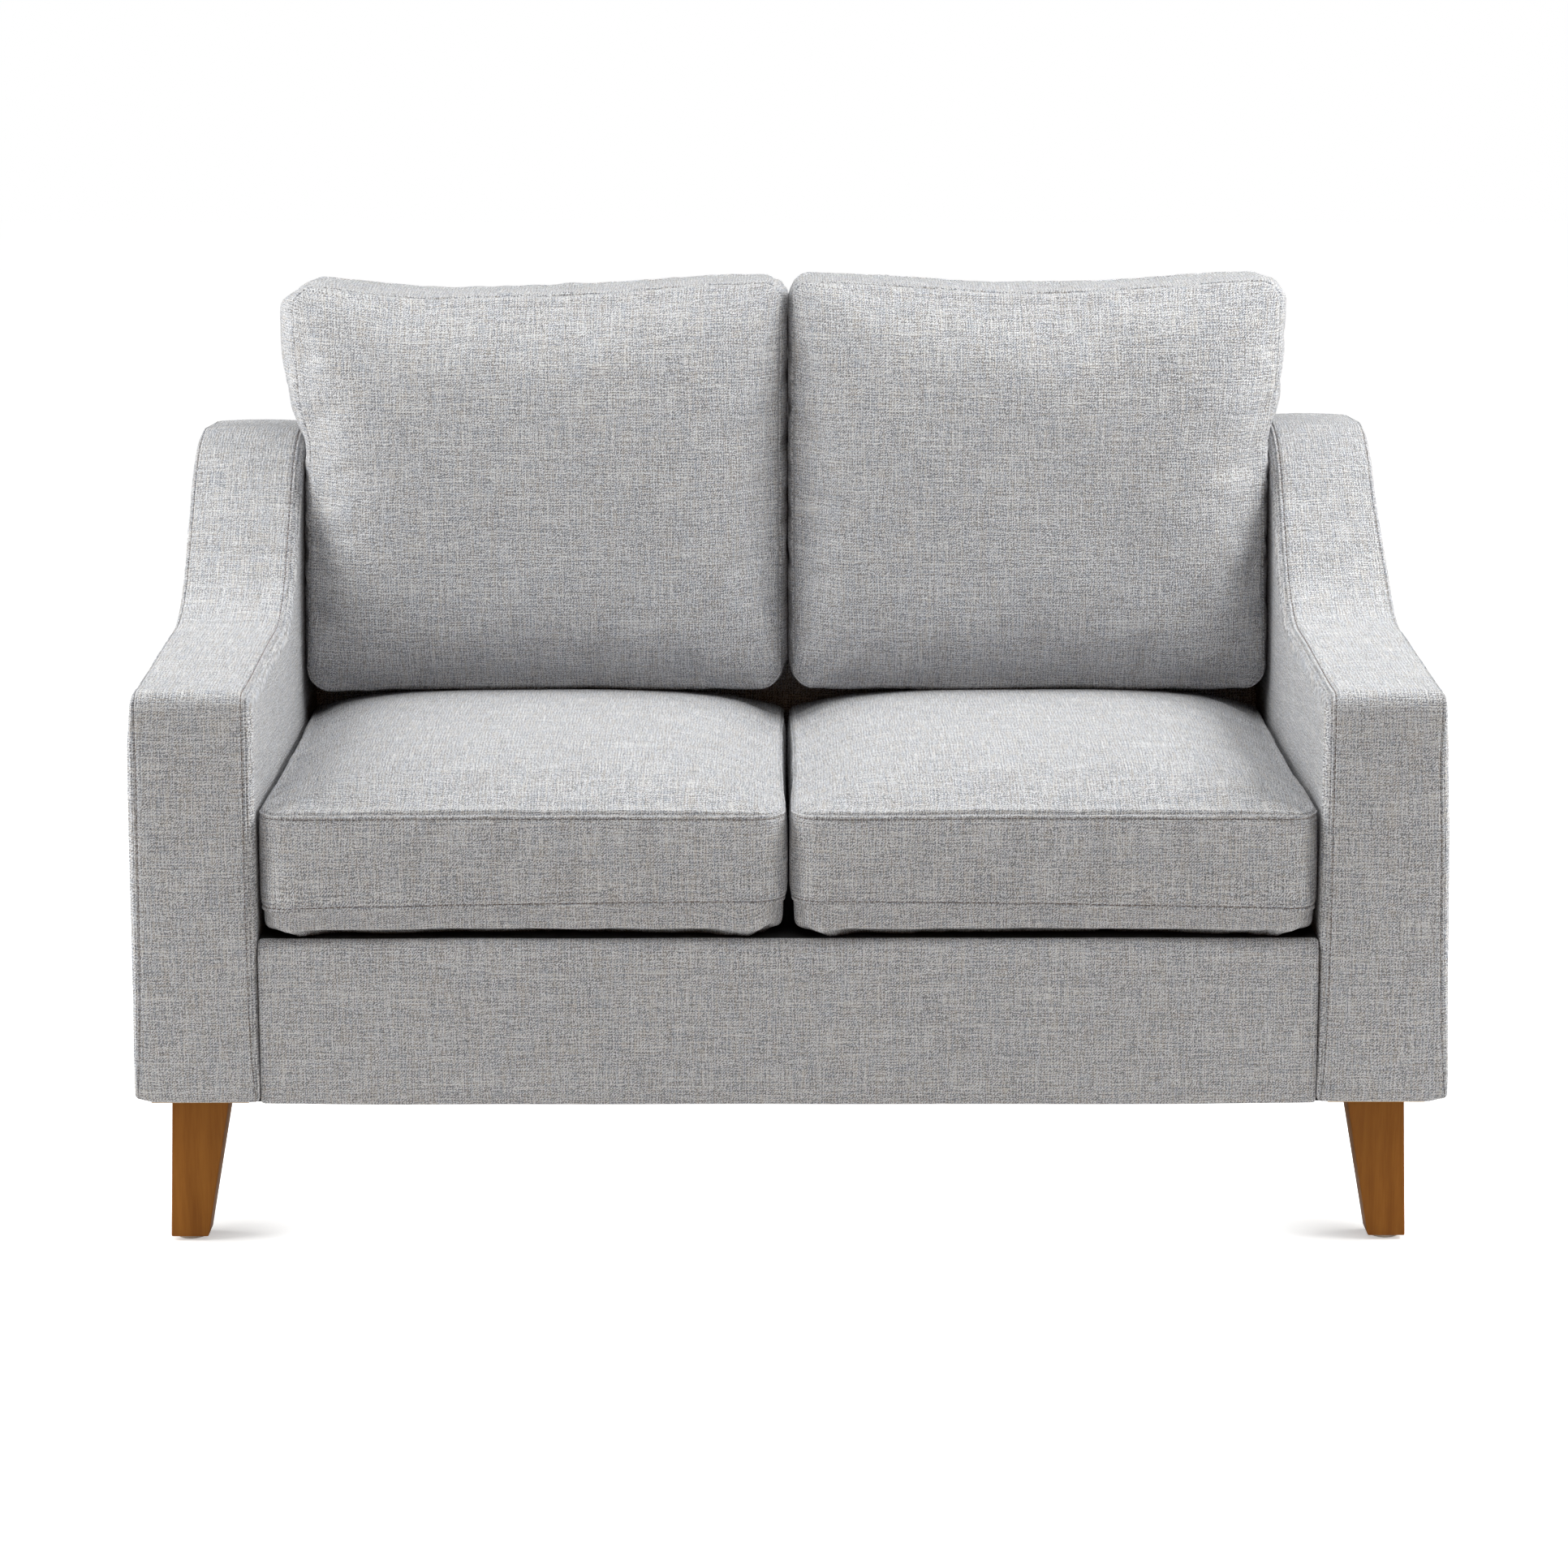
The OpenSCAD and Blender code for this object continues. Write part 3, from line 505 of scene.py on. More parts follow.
def moulded_pale(name):
    """Pale moulded plastic with a faint satin grain."""
    paint = Paint(name, roughness=0.45)
    grain, scuff = paint.speckle(1200), paint.speckle(60)
    colour = paint.mix(scuff.between(0.3, 0.8), (0.66, 0.65, 0.62), (0.80, 0.79, 0.77))
    return paint.finish(colour, grain, depth=0.00005, roughness=0.38 + grain * 0.2)


def material(name, make, *values):
    """The named material, made on first use."""
    return bpy.data.materials.get(name) or make(name, *values)


def cloth_material():
    return material("upholstery_cloth", upholstery_cloth, bpy.context.scene.settee_look)


def thread_material():
    return material("sewing_thread", sewing_thread, bpy.context.scene.settee_look)


# Stitches

def stitch_shape(length, width):
    """Points and faces of one stitch along X: five rings of five corners, low and
    round, closed at both ends."""
    places = np.array([-1, -0.8, 0, 0.8, 1]) * length / 2
    size = np.array([0.4, 0.9, 1, 0.9, 0.4]) * width / 2
    angle = np.arange(5) / 5 * 2 * np.pi
    ring = np.stack([np.zeros(5), np.cos(angle), np.sin(angle) * 0.8], -1)
    rings = ring[None] * size[:, None, None]
    rings[..., 0] = places[:, None]
    rings[..., 2] -= (np.abs(places) / places.max())[:, None] ** 3 * width * 0.35
    return rings_with_caps(rings)


def sew(name, seams, sizes):
    """Stitches along lines of (points, normals): each lies along the line, half sunk
    in the cloth, a pitch after the last."""
    frames, places = [], []
    for line, normals in seams:
        along = lengths(line)
        pitch, half = sizes.stitch_pitch, sizes.stitch_length / 2
        middle = np.arange(pitch / 2, along[-1] - pitch / 3, pitch)
        way = unit(read_line(line, along, middle + half) - read_line(line, along, middle - half))
        up = read_line(normals, along, middle)
        up = unit(up - way * (up * way).sum(-1, keepdims=True))
        frames.append(np.stack([way, np.cross(up, way), up], 1))
        places.append(read_line(line, along, middle) + up * sizes.stitch_width * 0.12)
    points, faces = stitch_shape(sizes.stitch_length, sizes.stitch_width)
    return copies(name, points, faces, np.concatenate(frames), np.concatenate(places))


def seam_relief(distance, sizes):
    """Height of the cloth beside a topstitched seam: a groove on the seam, a soft
    ridge over the folded edge, and a dip along the stitches."""
    stitch, groove = sizes.stitch_inset, 0.0009
    return (-sizes.seam_depth * bell(distance, groove)
            + sizes.seam_ridge * bell(distance - stitch * 0.5, stitch * 0.32)
            - sizes.stitch_dip * bell(distance - stitch, groove))


# Arms

def arm_outline(arm):
    """Side outline of an arm as (y, z) points from the front's foot over the nose, the
    level top, the hollow, the slope, the crest and the rear's nose to the foot."""
    front, rear, foot, crest = ARM_LOW.y, ARM_HIGH.y, ARM_LOW.z, ARM_HIGH.z
    nose = arm.nose_radius
    run = arm.scoop_run * DEPTH
    rise = crest - arm.level_height
    end = crest - arm.crest_fall
    chord = run ** 2 + rise ** 2
    radii = arm.scoop_round * chord / (2 * rise)
    slope = math.sqrt(chord * (1 - arm.scoop_round))
    angle = math.degrees(math.atan2(rise - radii, run) + math.atan2(radii, slope))
    hollow = arm.scoop_hollow * radii
    round_top = radii - hollow
    scoop_y = front + arm.scoop_start * DEPTH
    crest_y = scoop_y + run
    share = np.linspace(0, 1, 60)
    level = np.stack([
        front + nose + share * (scoop_y - front - nose),
        arm.front_height + ease(share) * (arm.level_height - arm.front_height)], -1)
    return np.concatenate([
        [[front, foot]],
        arc((front + nose, arm.front_height - nose), nose, 180, 90),
        level,
        arc((scoop_y, arm.level_height + hollow), hollow, -90, angle - 90),
        arc((crest_y, crest - round_top), round_top, 90 + angle, 90),
        arc((rear - nose, end - nose), nose, 90, 0),
        [[rear, foot]],
    ])


def arm_stations(arm, total):
    """Places along the outline: as many up the front as down the rear, crowded at the
    foot, and an even row between the middles of the two noses."""
    nose_half = arm.nose_radius * math.pi / 4
    front = arm.front_height - arm.nose_radius - ARM_LOW.z + nose_half
    rear = total - (ARM_HIGH.z - arm.crest_fall - arm.nose_radius - ARM_LOW.z + nose_half)
    foot = np.array([0, 0.0008, 0.002, 0.004, 0.007, 0.012])
    count = int(front / arm.mesh_step)
    up = np.concatenate([foot, np.linspace(foot[-1], front, count)[1:]])
    down = np.concatenate([foot, np.linspace(foot[-1], total - rear, count)[1:]])
    between = np.linspace(front, rear, int((rear - front) / arm.mesh_step))
    return np.concatenate([up, between[1:-1], total - down[::-1]]), len(up) - 1


def arm_rows():
    """Rows across an arm from its outer side to its inner side: turn, the angle round
    the long edge, and share, the place across the strip."""
    edge = np.array([0, 1.4, 2.8, 4.2, 5.4, 6.2, 6.9, 7.5, 8.1, 8.8, 9.6, 10.4, 11.1, 11.6,
                     12.0, 12.4, 12.8, 13.3, 14.0, 15.0, 16.5, 18.5, 21, 24, 28.27])
    turn = edge / edge[-1] * np.pi / 2
    strip = np.linspace(1, 0, 13)[1:-1]
    turns = np.concatenate([turn[::-1], np.zeros(len(strip)), turn])
    shares = np.concatenate([np.ones(len(turn)), strip, np.zeros(len(turn))])
    return turns, shares


def arm_upholstery(side, arm, sizes):
    """Padded cover of one arm. Its long strip runs up the front, over the top and down
    the rear with quarter-round edges; side panels and a foot fill the rest."""
    line = even_line(arm_outline(arm))
    mean_of_five = np.ones(5) / 5
    normals = unit(np.stack([np.convolve(n, mean_of_five, "same") for n in line_normals(line).T], -1))
    normals[:3], normals[-3:] = (-1, 0), (1, 0)
    along = lengths(line)
    stations, corner = arm_stations(arm, along[-1])
    path = read_line(line, along, stations)
    away = unit(read_line(normals, along, stations))
    turns, shares = arm_rows()

    # Long edges that grow tighter towards the foot and, on the outer side, over the top
    foot_fade, top_fade = 0.06, 0.08
    tight = arm.foot_tightness + (1 - arm.foot_tightness) * (
        1 - np.exp(-(path[:, 1] - ARM_LOW.z) / foot_fade))
    over_top = np.minimum(ease((stations - stations[corner]) / top_fade + 1),
                          ease((stations[-corner - 1] - stations) / top_fade + 1))
    inner_radius = (arm.edge_radius * tight)[:, None]
    outer_radius = inner_radius * (1 - (1 - arm.top_tightness) * over_top)[:, None]
    on_outer = shares[None] > 0.5
    radius = np.where(on_outer, outer_radius, inner_radius)
    sunk = radius * (1 - np.cos(turns)) + arm.strip_crown * (2 * shares - 1) ** 2
    inset = radius * (1 - np.sin(turns))
    inner, outer = ARM_LOW.x, ARM_HIGH.x
    strip = inner + inner_radius + shares * (outer - inner - inner_radius - outer_radius)
    x = np.where(turns > 0, np.where(on_outer, outer - inset, inner + inset), strip)
    band = np.concatenate([
        x[..., None], path[:, None] - sunk[..., None] * away[:, None]], -1)

    # Seams with uneven puckers beside them, creases and unevenness of the padding
    reach = turns * arm.edge_radius
    seam_place = arm.stitch_place + sizes.stitch_inset
    relief = seam_relief(seam_place - reach, sizes) * (turns > 0)
    seed, edges_apart = 3 if side == "left" else 11, 7.7
    lift = np.broadcast_to(relief, band.shape[:2]).copy()
    by_seam = bell(reach - seam_place - 0.004, 0.007) * (turns > 0)
    place = np.stack(np.broadcast_arrays(stations[:, None], shares[None] * edges_apart), -1)
    lift += by_seam * sizes.pucker * 0.6 * ripple(place, seed, sizes.edge_pitch)
    on_strip = turns < 0.5
    for past, wide, deep, end in CREASES[side]:
        window = ease((end - shares) / 0.35) * ease((shares + 0.12) / 0.2)
        lift -= (bell(stations - (arm.crease_place + past), wide)[:, None] * window[None] * on_strip
                 * arm.crease_depth * deep)
    lift += arm.unevenness * ripple(band, seed + 1, 0.11)
    rows_in = np.minimum(np.arange(len(turns)), np.arange(len(turns))[::-1])
    lift *= ease(rows_in / 4)[None]
    band = band + lift[..., None] * grid_normals(band)

    # Side panels and the foot, between the band's borders
    count = len(stations) - 1
    panels = {}
    for name, row in (("outer", 0), ("inner", -1)):
        border = band[:, row]
        high = border[corner:count - corner + 1]
        share = lengths(high)
        share = (share / share[-1])[:, None]
        low = border[0] * (1 - share) + border[-1] * share
        panels[name] = fill_between(border[:corner + 1], border[::-1][:corner + 1], low, high), low
    foot = fill_between(band[0, ::-1], band[-1, ::-1], panels["inner"][1], panels["outer"][1])
    outer_panel, inner_panel = panels["outer"][0], panels["inner"][0]

    across = np.broadcast_to(x, band.shape[:2])
    parts = [
        [band, np.stack([across, np.broadcast_to(stations[:, None], across.shape)], -1)],
        [outer_panel, outer_panel[..., 1:]],
        [inner_panel[::-1], inner_panel[::-1][..., 1:] * (-1, 1)],
        [foot, foot[..., :2]],
    ]
    for part in parts:
        part[0] = settle_arm(part[0], arm, path, seed, SETTLING[side])
    if side == "left":
        for part in parts:
            part[0] = part[0][::-1] * (-1, 1, 1)
            part[1] = part[1][::-1] * (-1, 1)
    piece, _ = mesh_object(f"arm_upholstery_{side}", parts)
    finish_piece(piece, cloth_material(), "frame", "body_fabric", f"arm_cover_{side}")

    settled = parts[0][0]
    outward = grid_normals(settled)
    apart = np.abs(reach - arm.stitch_place)
    rows = [int(np.argmin(apart + half)) for half in (shares < 0.5, shares > 0.5)]
    threads = sew(f"arm_stitches_{side}", [(settled[:, k], outward[:, k]) for k in rows], sizes)
    finish_piece(threads, thread_material(), "frame", "body_fabric")


def settle_arm(points, arm, path, seed, settling):
    """Draws the outer side in towards its top and foot, lets it swell between them,
    and rolls the whole foot in. Settling holds how far the outer side swells, how
    much more it stands out at the foot, how far it draws in at the crest and how far
    the crest rises."""
    swelling, widening, narrowing, rising = settling
    margin, top_reach, foot_reach, crest_reach = 0.03, 0.16, 0.02, 0.13
    x, y, z = points[..., 0], points[..., 1], points[..., 2]
    outer = ease((x - ARM_LOW.x - margin) / (ARM_HIGH.x - ARM_LOW.x - margin))
    rise = z - ARM_LOW.z
    top = np.interp(y, path[:, 0], path[:, 1])
    swell = ease((top - z) / top_reach)
    shift = -arm.edge_draw * (1 - swell) - arm.foot_draw * np.exp(-rise / foot_reach)
    shift = shift + 2 * arm.unevenness * ripple(points[..., 1:], seed + 5, 0.23) * swell
    fall = (arm.front_height - z) / (arm.front_height - ARM_LOW.z)
    crest = ease((z - arm.front_height - 0.02) / crest_reach)
    shift = shift + swelling * ease(fall / 0.16) + widening * np.clip(fall, 0, 1) - narrowing * crest

    # The foot rolls in all round, and its front edge is drawn up, most at the outer corner
    middle = (ARM_LOW.x + ARM_HIGH.x) / 2
    roll = arm.foot_roll * np.exp(-rise / 0.0022)
    moved = points.copy()
    moved[..., 0] += outer * shift - np.sign(x - middle) * roll * ease(np.abs(x - middle) / 0.03)
    moved[..., 1] -= np.sign(y) * roll * ease(np.abs(y) / 0.35)
    front = ease((-y - 0.36) / 0.03)
    corner = 1 + ease((x - ARM_HIGH.x + 0.012) / 0.010)
    moved[..., 2] += rising * crest + arm.foot_lift * np.exp(-rise / 0.010) * front * corner
    return moved


# Cushions

CORNER_SIGNS = np.array([[1, 1], [-1, 1], [-1, -1], [1, -1]])
SIDE_NORMALS = np.array([[0, 1], [-1, 0], [0, -1], [1, 0]])


def rim(form, side, share, fullness=0.0):
    """Plan outline of a boxed cushion. Each of its four sides runs from the middle of
    one round corner to the middle of the next: an eighth of a circle, a straight run
    that draws in or swells between its ends, and another eighth."""
    radii = np.array(form["radii"])
    centres = CORNER_SIGNS * (np.array(form["half"]) - radii[:, None])
    after = (side + 1) % 4
    outward = SIDE_NORMALS[side]
    start = centres[side] + radii[side][..., None] * outward
    straight = centres[after] + radii[after][..., None] * outward - start
    run = np.linalg.norm(straight, axis=-1)
    first, last = radii[side] * np.pi / 4, radii[after] * np.pi / 4
    place = share * (first + run + last)
    t = np.clip((place - first) / run, 0, 1)
    angle = np.where(place < first,
                     (side + 0.5) * np.pi / 2 + place / radii[side],
                     (side + 1) * np.pi / 2 + np.maximum(place - first - run, 0) / radii[after])
    away = np.stack([np.cos(angle), np.sin(angle)], -1)
    line = start + t[..., None] * straight
    line = np.where((place < first)[..., None], centres[side] + radii[side][..., None] * away, line)
    line = np.where((t >= 1)[..., None], centres[after] + radii[after][..., None] * away, line)
    middle = 16 * t ** 2 * (1 - t) ** 2
    swell = fullness * (form["puff"] + np.array(form["swells"])[side] * middle)
    return line + (swell - np.array(form["pulls"])[side] * middle)[..., None] * away


def panel_points(form, a, b, top):
    """Grid of a cushion's upper or lower panel. Its squares follow the rim, and it
    swells by a root of one less a power of the distance from the middle, each way."""
    a, b = np.meshgrid(a, b, indexing="ij")
    ring = np.maximum(np.abs(a), np.abs(b))
    safe = np.maximum(ring, 1e-9)
    side = np.select([b >= ring, -a >= ring, -b >= ring], [0, 1, 2], 3)
    share = (1 + np.select([side == 0, side == 1, side == 2], [-a, -b, a], b) / safe) / 2
    plan = ring[..., None] * rim(form, side, share)
    power = form["crown_power"] if top else form["belly_power"]
    turn = 0.5 if top else form["belly_turn"]
    swell = np.maximum((1 - np.abs(a) ** power) * (1 - np.abs(b) ** power), 0) ** turn
    height = form["crown"] * swell if top else -form["belly"] * swell
    level = form["box"] / 2 if top else -form["box"] / 2
    return np.concatenate([plan, (level + height)[..., None]], -1)


def panel_border(a, b):
    """Indices of a panel's border, anticlockwise from the corner at +X +Y and back,
    with the side and the share of it at each."""
    na, nb = len(a) - 1, len(b) - 1
    runs = [
        (np.arange(na, 0, -1), np.full(na, nb), 0, (1 - a[:0:-1]) / 2),
        (np.zeros(nb, int), np.arange(nb, 0, -1), 1, (1 - b[:0:-1]) / 2),
        (np.arange(na), np.zeros(na, int), 2, (1 + a[:-1]) / 2),
        (np.full(nb, na), np.arange(nb), 3, (1 + b[:-1]) / 2),
    ]
    i, j, side, share = (np.concatenate([np.broadcast_to(run[k], run[0].shape) for run in runs])
                         for k in range(4))
    return tuple(np.append(values, values[0]) for values in (i, j, side, share))


def cloth_spread(points):
    """Cloth places of a panel: lengths along its grid lines, from its middle."""
    places = []
    for axis in (0, 1):
        steps = np.linalg.norm(np.diff(points, axis=axis), axis=-1)
        along = np.cumsum(steps, axis=axis)
        along = np.concatenate([np.zeros_like(along.take([0], axis=axis)), along], axis=axis)
        places.append(along - along.take([along.shape[axis] // 2], axis=axis))
    return np.stack(places, -1)


def boxed_form(form, a, b, rows):
    """Upper panel, boxing and lower panel of a cushion as three grids."""
    upper = panel_points(form, a, b, True)
    lower = panel_points(form, a, b, False)
    _, _, side, share = panel_border(a, b)
    side, share, rows = np.broadcast_arrays(side[:, None], share[:, None], rows)
    boxing = rim(form, side, share, 1 - np.abs(2 * rows / form["box"]) ** 3)
    return upper, np.concatenate([boxing, rows[..., None]], -1), lower


def meet(upper, boxing, lower, border):
    """Sets the boxing's last and first rows on the borders of the two panels."""
    boxing[:, -1] = upper[border[0], border[1]]
    boxing[:, 0] = lower[border[0], border[1]]


def swell_cloth(name, form, counts, settings, seed):
    """Cloth simulation of a coarse copy of a cushion: inflated for a few frames with
    its seams held, each point then kept within a cap. Gives how far the points of the
    three grids moved."""
    a, b = (np.linspace(-1, 1, n + 1) for n in counts[:2])
    rows = np.linspace(-form["box"] / 2, form["box"] / 2, counts[2] + 1)
    grids = list(boxed_form(form, a, b, rows))
    start = [grid.copy() for grid in grids]
    for grid in grids:
        bump = ripple(grid, seed, 0.07) + ripple(grid, seed + 1, 0.16)
        grid += (settings.start_unevenness * bump)[..., None] * grid_normals(grid) * 0.5
    meet(*grids, panel_border(a, b))
    grids[2] = grids[2][::-1]
    piece, index = mesh_object(name, [(grid, grid[..., :2]) for grid in grids])
    seams = piece.vertex_groups.new(name="seams")
    first = grids[0].shape[0] * grids[0].shape[1]
    ids = np.arange(grids[1].shape[0] * grids[1].shape[1]).reshape(grids[1].shape[:2]) + first
    seams.add(np.unique(index[ids[:, [0, -1]]]).tolist(), settings.seam_hold, "REPLACE")
    cloth = piece.modifiers.new("Swell", "CLOTH")
    cloth.collision_settings.use_collision = False
    values = cloth.settings
    values.quality = 5
    values.mass = 0.25
    values.tension_stiffness = values.compression_stiffness = settings.stiffness
    values.shear_stiffness = settings.stiffness / 3
    values.bending_stiffness = settings.bending
    values.use_pressure = True
    values.uniform_pressure_force = settings.pressure
    values.effector_weights.gravity = 0
    values.vertex_group_mass = "seams"
    values.shrink_min = -settings.slack
    scene, last_frame = bpy.context.scene, 20
    for step in range(1, last_frame + 1):
        scene.frame_set(step)
    shown = piece.evaluated_get(bpy.context.evaluated_depsgraph_get())
    moved = np.empty(len(shown.data.vertices) * 3)
    shown.data.vertices.foreach_get("co", moved)
    moved = moved.reshape(-1, 3)[index]
    scene.frame_set(1)
    bpy.data.objects.remove(piece)
    ends = np.cumsum([grid.shape[0] * grid.shape[1] for grid in grids])[:-1]
    after = [part.reshape(grid.shape) for part, grid in zip(np.split(moved, ends), grids)]
    after[2] = after[2][::-1]
    capped = []
    for now, before in zip(after, start):
        move = now - before
        far = np.linalg.norm(move, axis=-1, keepdims=True)
        capped.append(move / np.maximum(far, 1e-9) * settings.cap * np.tanh(far / settings.cap))
    return capped


def spread_moves(moves, a, b, rows, form, counts, border):
    """Moves of the coarse copy, read on the three finer grids."""
    across, up, levels = counts
    at_a, at_b = (a + 1) / 2 * across, (b + 1) / 2 * up
    starts, size = np.cumsum([0, across, up, across]), np.array([across, up, across, up])
    at_border = starts[border[2]] + border[3] * size[border[2]]
    at_border[-1] = at_border[0]
    at_rows = (rows / form["box"] + 0.5) * levels

    def read(field, first, second, wrap=False):
        return resample(resample(field, first, wrap).swapaxes(0, 1), second).swapaxes(0, 1)

    upper, boxing, lower = moves
    return (read(upper, at_a, at_b), read(boxing[:-1], at_border, at_rows, True),
            read(lower, at_a, at_b))


def crowded(half, fine, step):
    """Places from -1 to 1: even steps in the middle and the fine steps by each end."""
    edge = 1 - np.array(fine) / half
    inner = edge[0]
    middle = np.linspace(-inner, inner, max(int(2 * inner * half / step), 8))
    return np.concatenate([-edge[:0:-1], middle, edge[1:]])


def boxed_cushion(kind, side, form, settings, sizes, place, seed, counts):
    """Dressed cushion: the boxed form, swollen by the cloth simulation, with relief
    along both seams and puckers that fade away from them, and its two rows of
    stitches. Counts are the simulated squares across, up and round the boxing."""
    name = f"{kind}_cushion_{side}"
    fine = (0.030, 0.022, 0.016, 0.0115, 0.008, 0.0055, 0.0036, 0.0022, 0.0012, 0.0004, 0)
    half = form["half"]
    a, b = (crowded(h, fine, settings.mesh_step) for h in half)
    stitch, beside = sizes.stitch_inset, 0.0007
    near = np.array([0, 0.0006, 0.0012, 0.0018, 0.0025, 0.0033, stitch - beside, stitch,
                     stitch + beside, 0.0062, 0.0078, 0.0105, 0.014, 0.019, 0.026, 0.035])
    near = near[near < form["box"] / 2 - 0.002]
    rows = np.concatenate([-form["box"] / 2 + near, [0], form["box"] / 2 - near[::-1]])
    parts = boxed_form(form, a, b, rows)
    border = panel_border(a, b)
    moves = swell_cloth(name + "_cloth", form, counts, settings, seed)
    moves = spread_moves(moves, a, b, rows, form, counts, border)
    parts = [part + move for part, move in zip(parts, moves)]
    meet(*parts, border)
    around = lengths(parts[1][:, -1])
    upper, boxing, lower = dressed(parts, a, b, rows, form, seed, settings, sizes)
    meet(upper, boxing, lower, border)

    shown = place(boxing)
    boxing_cloth = np.stack(np.broadcast_arrays(around[:, None], rows[None]), -1)
    grids = [(place(upper), cloth_spread(upper)), (shown, boxing_cloth),
             (place(lower)[::-1], cloth_spread(lower)[::-1] * (-1, 1))]
    piece, _ = mesh_object(name, grids)
    finish_piece(piece, cloth_material(), name, "cushion_fabric", f"{kind}_cushion_cover_{side}")

    outward = grid_normals(shown)
    stitched = form["box"] / 2 - stitch
    picked = [int(np.argmin(np.abs(rows - level))) for level in (-stitched, stitched)]
    threads = sew(name + "_stitches", [(shown[:, k], outward[:, k]) for k in picked], sizes)
    finish_piece(threads, thread_material(), name, "cushion_fabric")


def dressed(parts, a, b, rows, form, seed, settings, sizes):
    """The three grids with relief along both seams and puckers that fade away from
    them. Close to a seam the cloth is moved slantwise, away from the cushion."""
    upper, boxing, lower = parts
    half_a, half_b = form["half"]
    height = np.minimum(rows + form["box"] / 2, form["box"] / 2 - rows)
    inward = np.minimum(*np.meshgrid((1 - np.abs(a)) * half_a, (1 - np.abs(b)) * half_b,
                                     indexing="ij"))
    panel_lift = (sizes.lip_height * bell(inward - 0.003, 0.0018)
                  - sizes.seam_depth * bell(inward, 0.0010))
    boxing_lift = seam_relief(height, sizes) - settings.boxing_draw * ease(height / 0.03)
    facing = np.sign(rows)[:, None]
    moved = []
    for part, distance, lift, tilt, turned in (
            (upper, inward, panel_lift, 1, 1), (boxing, height[None], boxing_lift, facing, 1),
            (lower, inward, panel_lift, -1, -1)):
        steep = bell(distance, 0.002)[..., None]
        slanting = unit(part * (1, 1, 0)) + np.array([0, 0, 0.75]) * tilt
        normal = unit(grid_normals(part) * turned * (1 - steep) + slanting * steep)
        lift = lift + seam_waves(part, distance, seed, settings, sizes)
        moved.append(part + lift[..., None] * normal)
    return moved


def seam_waves(points, distance, seed, settings, sizes):
    """Small puckers across the seams, uneven in size, that fade over a few
    centimetres, and slower hollows over the whole cushion."""
    direction = unit(points[..., :2])
    angle = np.arctan2(points[..., 1], points[..., 0])
    outline = np.concatenate([direction * 0.3, points[..., :2]], -1)
    fine = ripple(points[..., :2], seed + 2, settings.pucker_pitch)
    slow = 0.5 + 0.5 * np.sin(angle * 5 + seed) * ripple(outline, seed + 3, 0.3)
    reach = np.exp(-distance / settings.pucker_reach) * ease(distance / 0.004)
    return (sizes.pucker * settings.pucker_size * fine * slow * reach
            + settings.hollow_depth * ripple(points, seed + 4, 0.17))


def flat_pad(name, low, high, radius, crown, finish, body, slot, replaced, place=np.asarray):
    """Foam block or padded deck: a shallow boxed form with soft edges, which place
    then moves."""
    middle = (np.array(low) + np.array(high)) / 2
    size = (np.array(high) - np.array(low)) / 2
    form = {"half": size[:2], "radii": [radius] * 4, "pulls": [0] * 4, "swells": [0] * 4,
            "box": 2 * size[2] - 2 * crown, "crown": crown, "belly": crown,
            "crown_power": 8, "belly_power": 8, "belly_turn": 0.5, "puff": 0}
    fine = (0.012, 0.007, 0.004, 0.002, 0.0008, 0)
    a, b = (crowded(h, fine, 0.02) for h in size[:2])
    rows = np.linspace(-form["box"] / 2, form["box"] / 2, 5)
    upper, boxing, lower = boxed_form(form, a, b, rows)
    around = lengths(boxing[:, -1])
    grids = [(place(upper + middle), upper[..., :2]),
             (place(boxing + middle), np.stack(np.broadcast_arrays(around[:, None], rows[None]), -1)),
             (place(lower + middle)[::-1], lower[::-1][..., :2])]
    piece, _ = mesh_object(name, grids)
    finish_piece(piece, finish, body, slot, replaced)


def cushion_foam(kind, side, low, high, place=np.asarray):
    """Foam core of a cushion."""
    flat_pad(f"{kind}_foam_{side}", low, high, 0.012, 0.004, material("cut_foam", cut_foam),
             f"{kind}_cushion_{side}", "cushion_core", f"{kind}_cushion_core_{side}", place)


def bevelled_block(size, rounding=0.25):
    """Points and faces of a block whose edges are cut off by a share of its size."""
    cut = 0.6
    corner = np.array([[1, cut], [cut, 1], [-cut, 1], [-1, cut],
                       [-1, -cut], [-cut, -1], [cut, -1], [1, -cut]])
    heights = np.array([-1, rounding - 1, 1 - rounding, 1]) * size[2] / 2
    scale = np.array([1 - rounding, 1, 1, 1 - rounding])
    ring = corner * np.array(size[:2]) / 2
    return rings_with_caps(np.concatenate([
        ring * scale[:, None, None], np.broadcast_to(heights[:, None, None], (4, 8, 1))], -1))


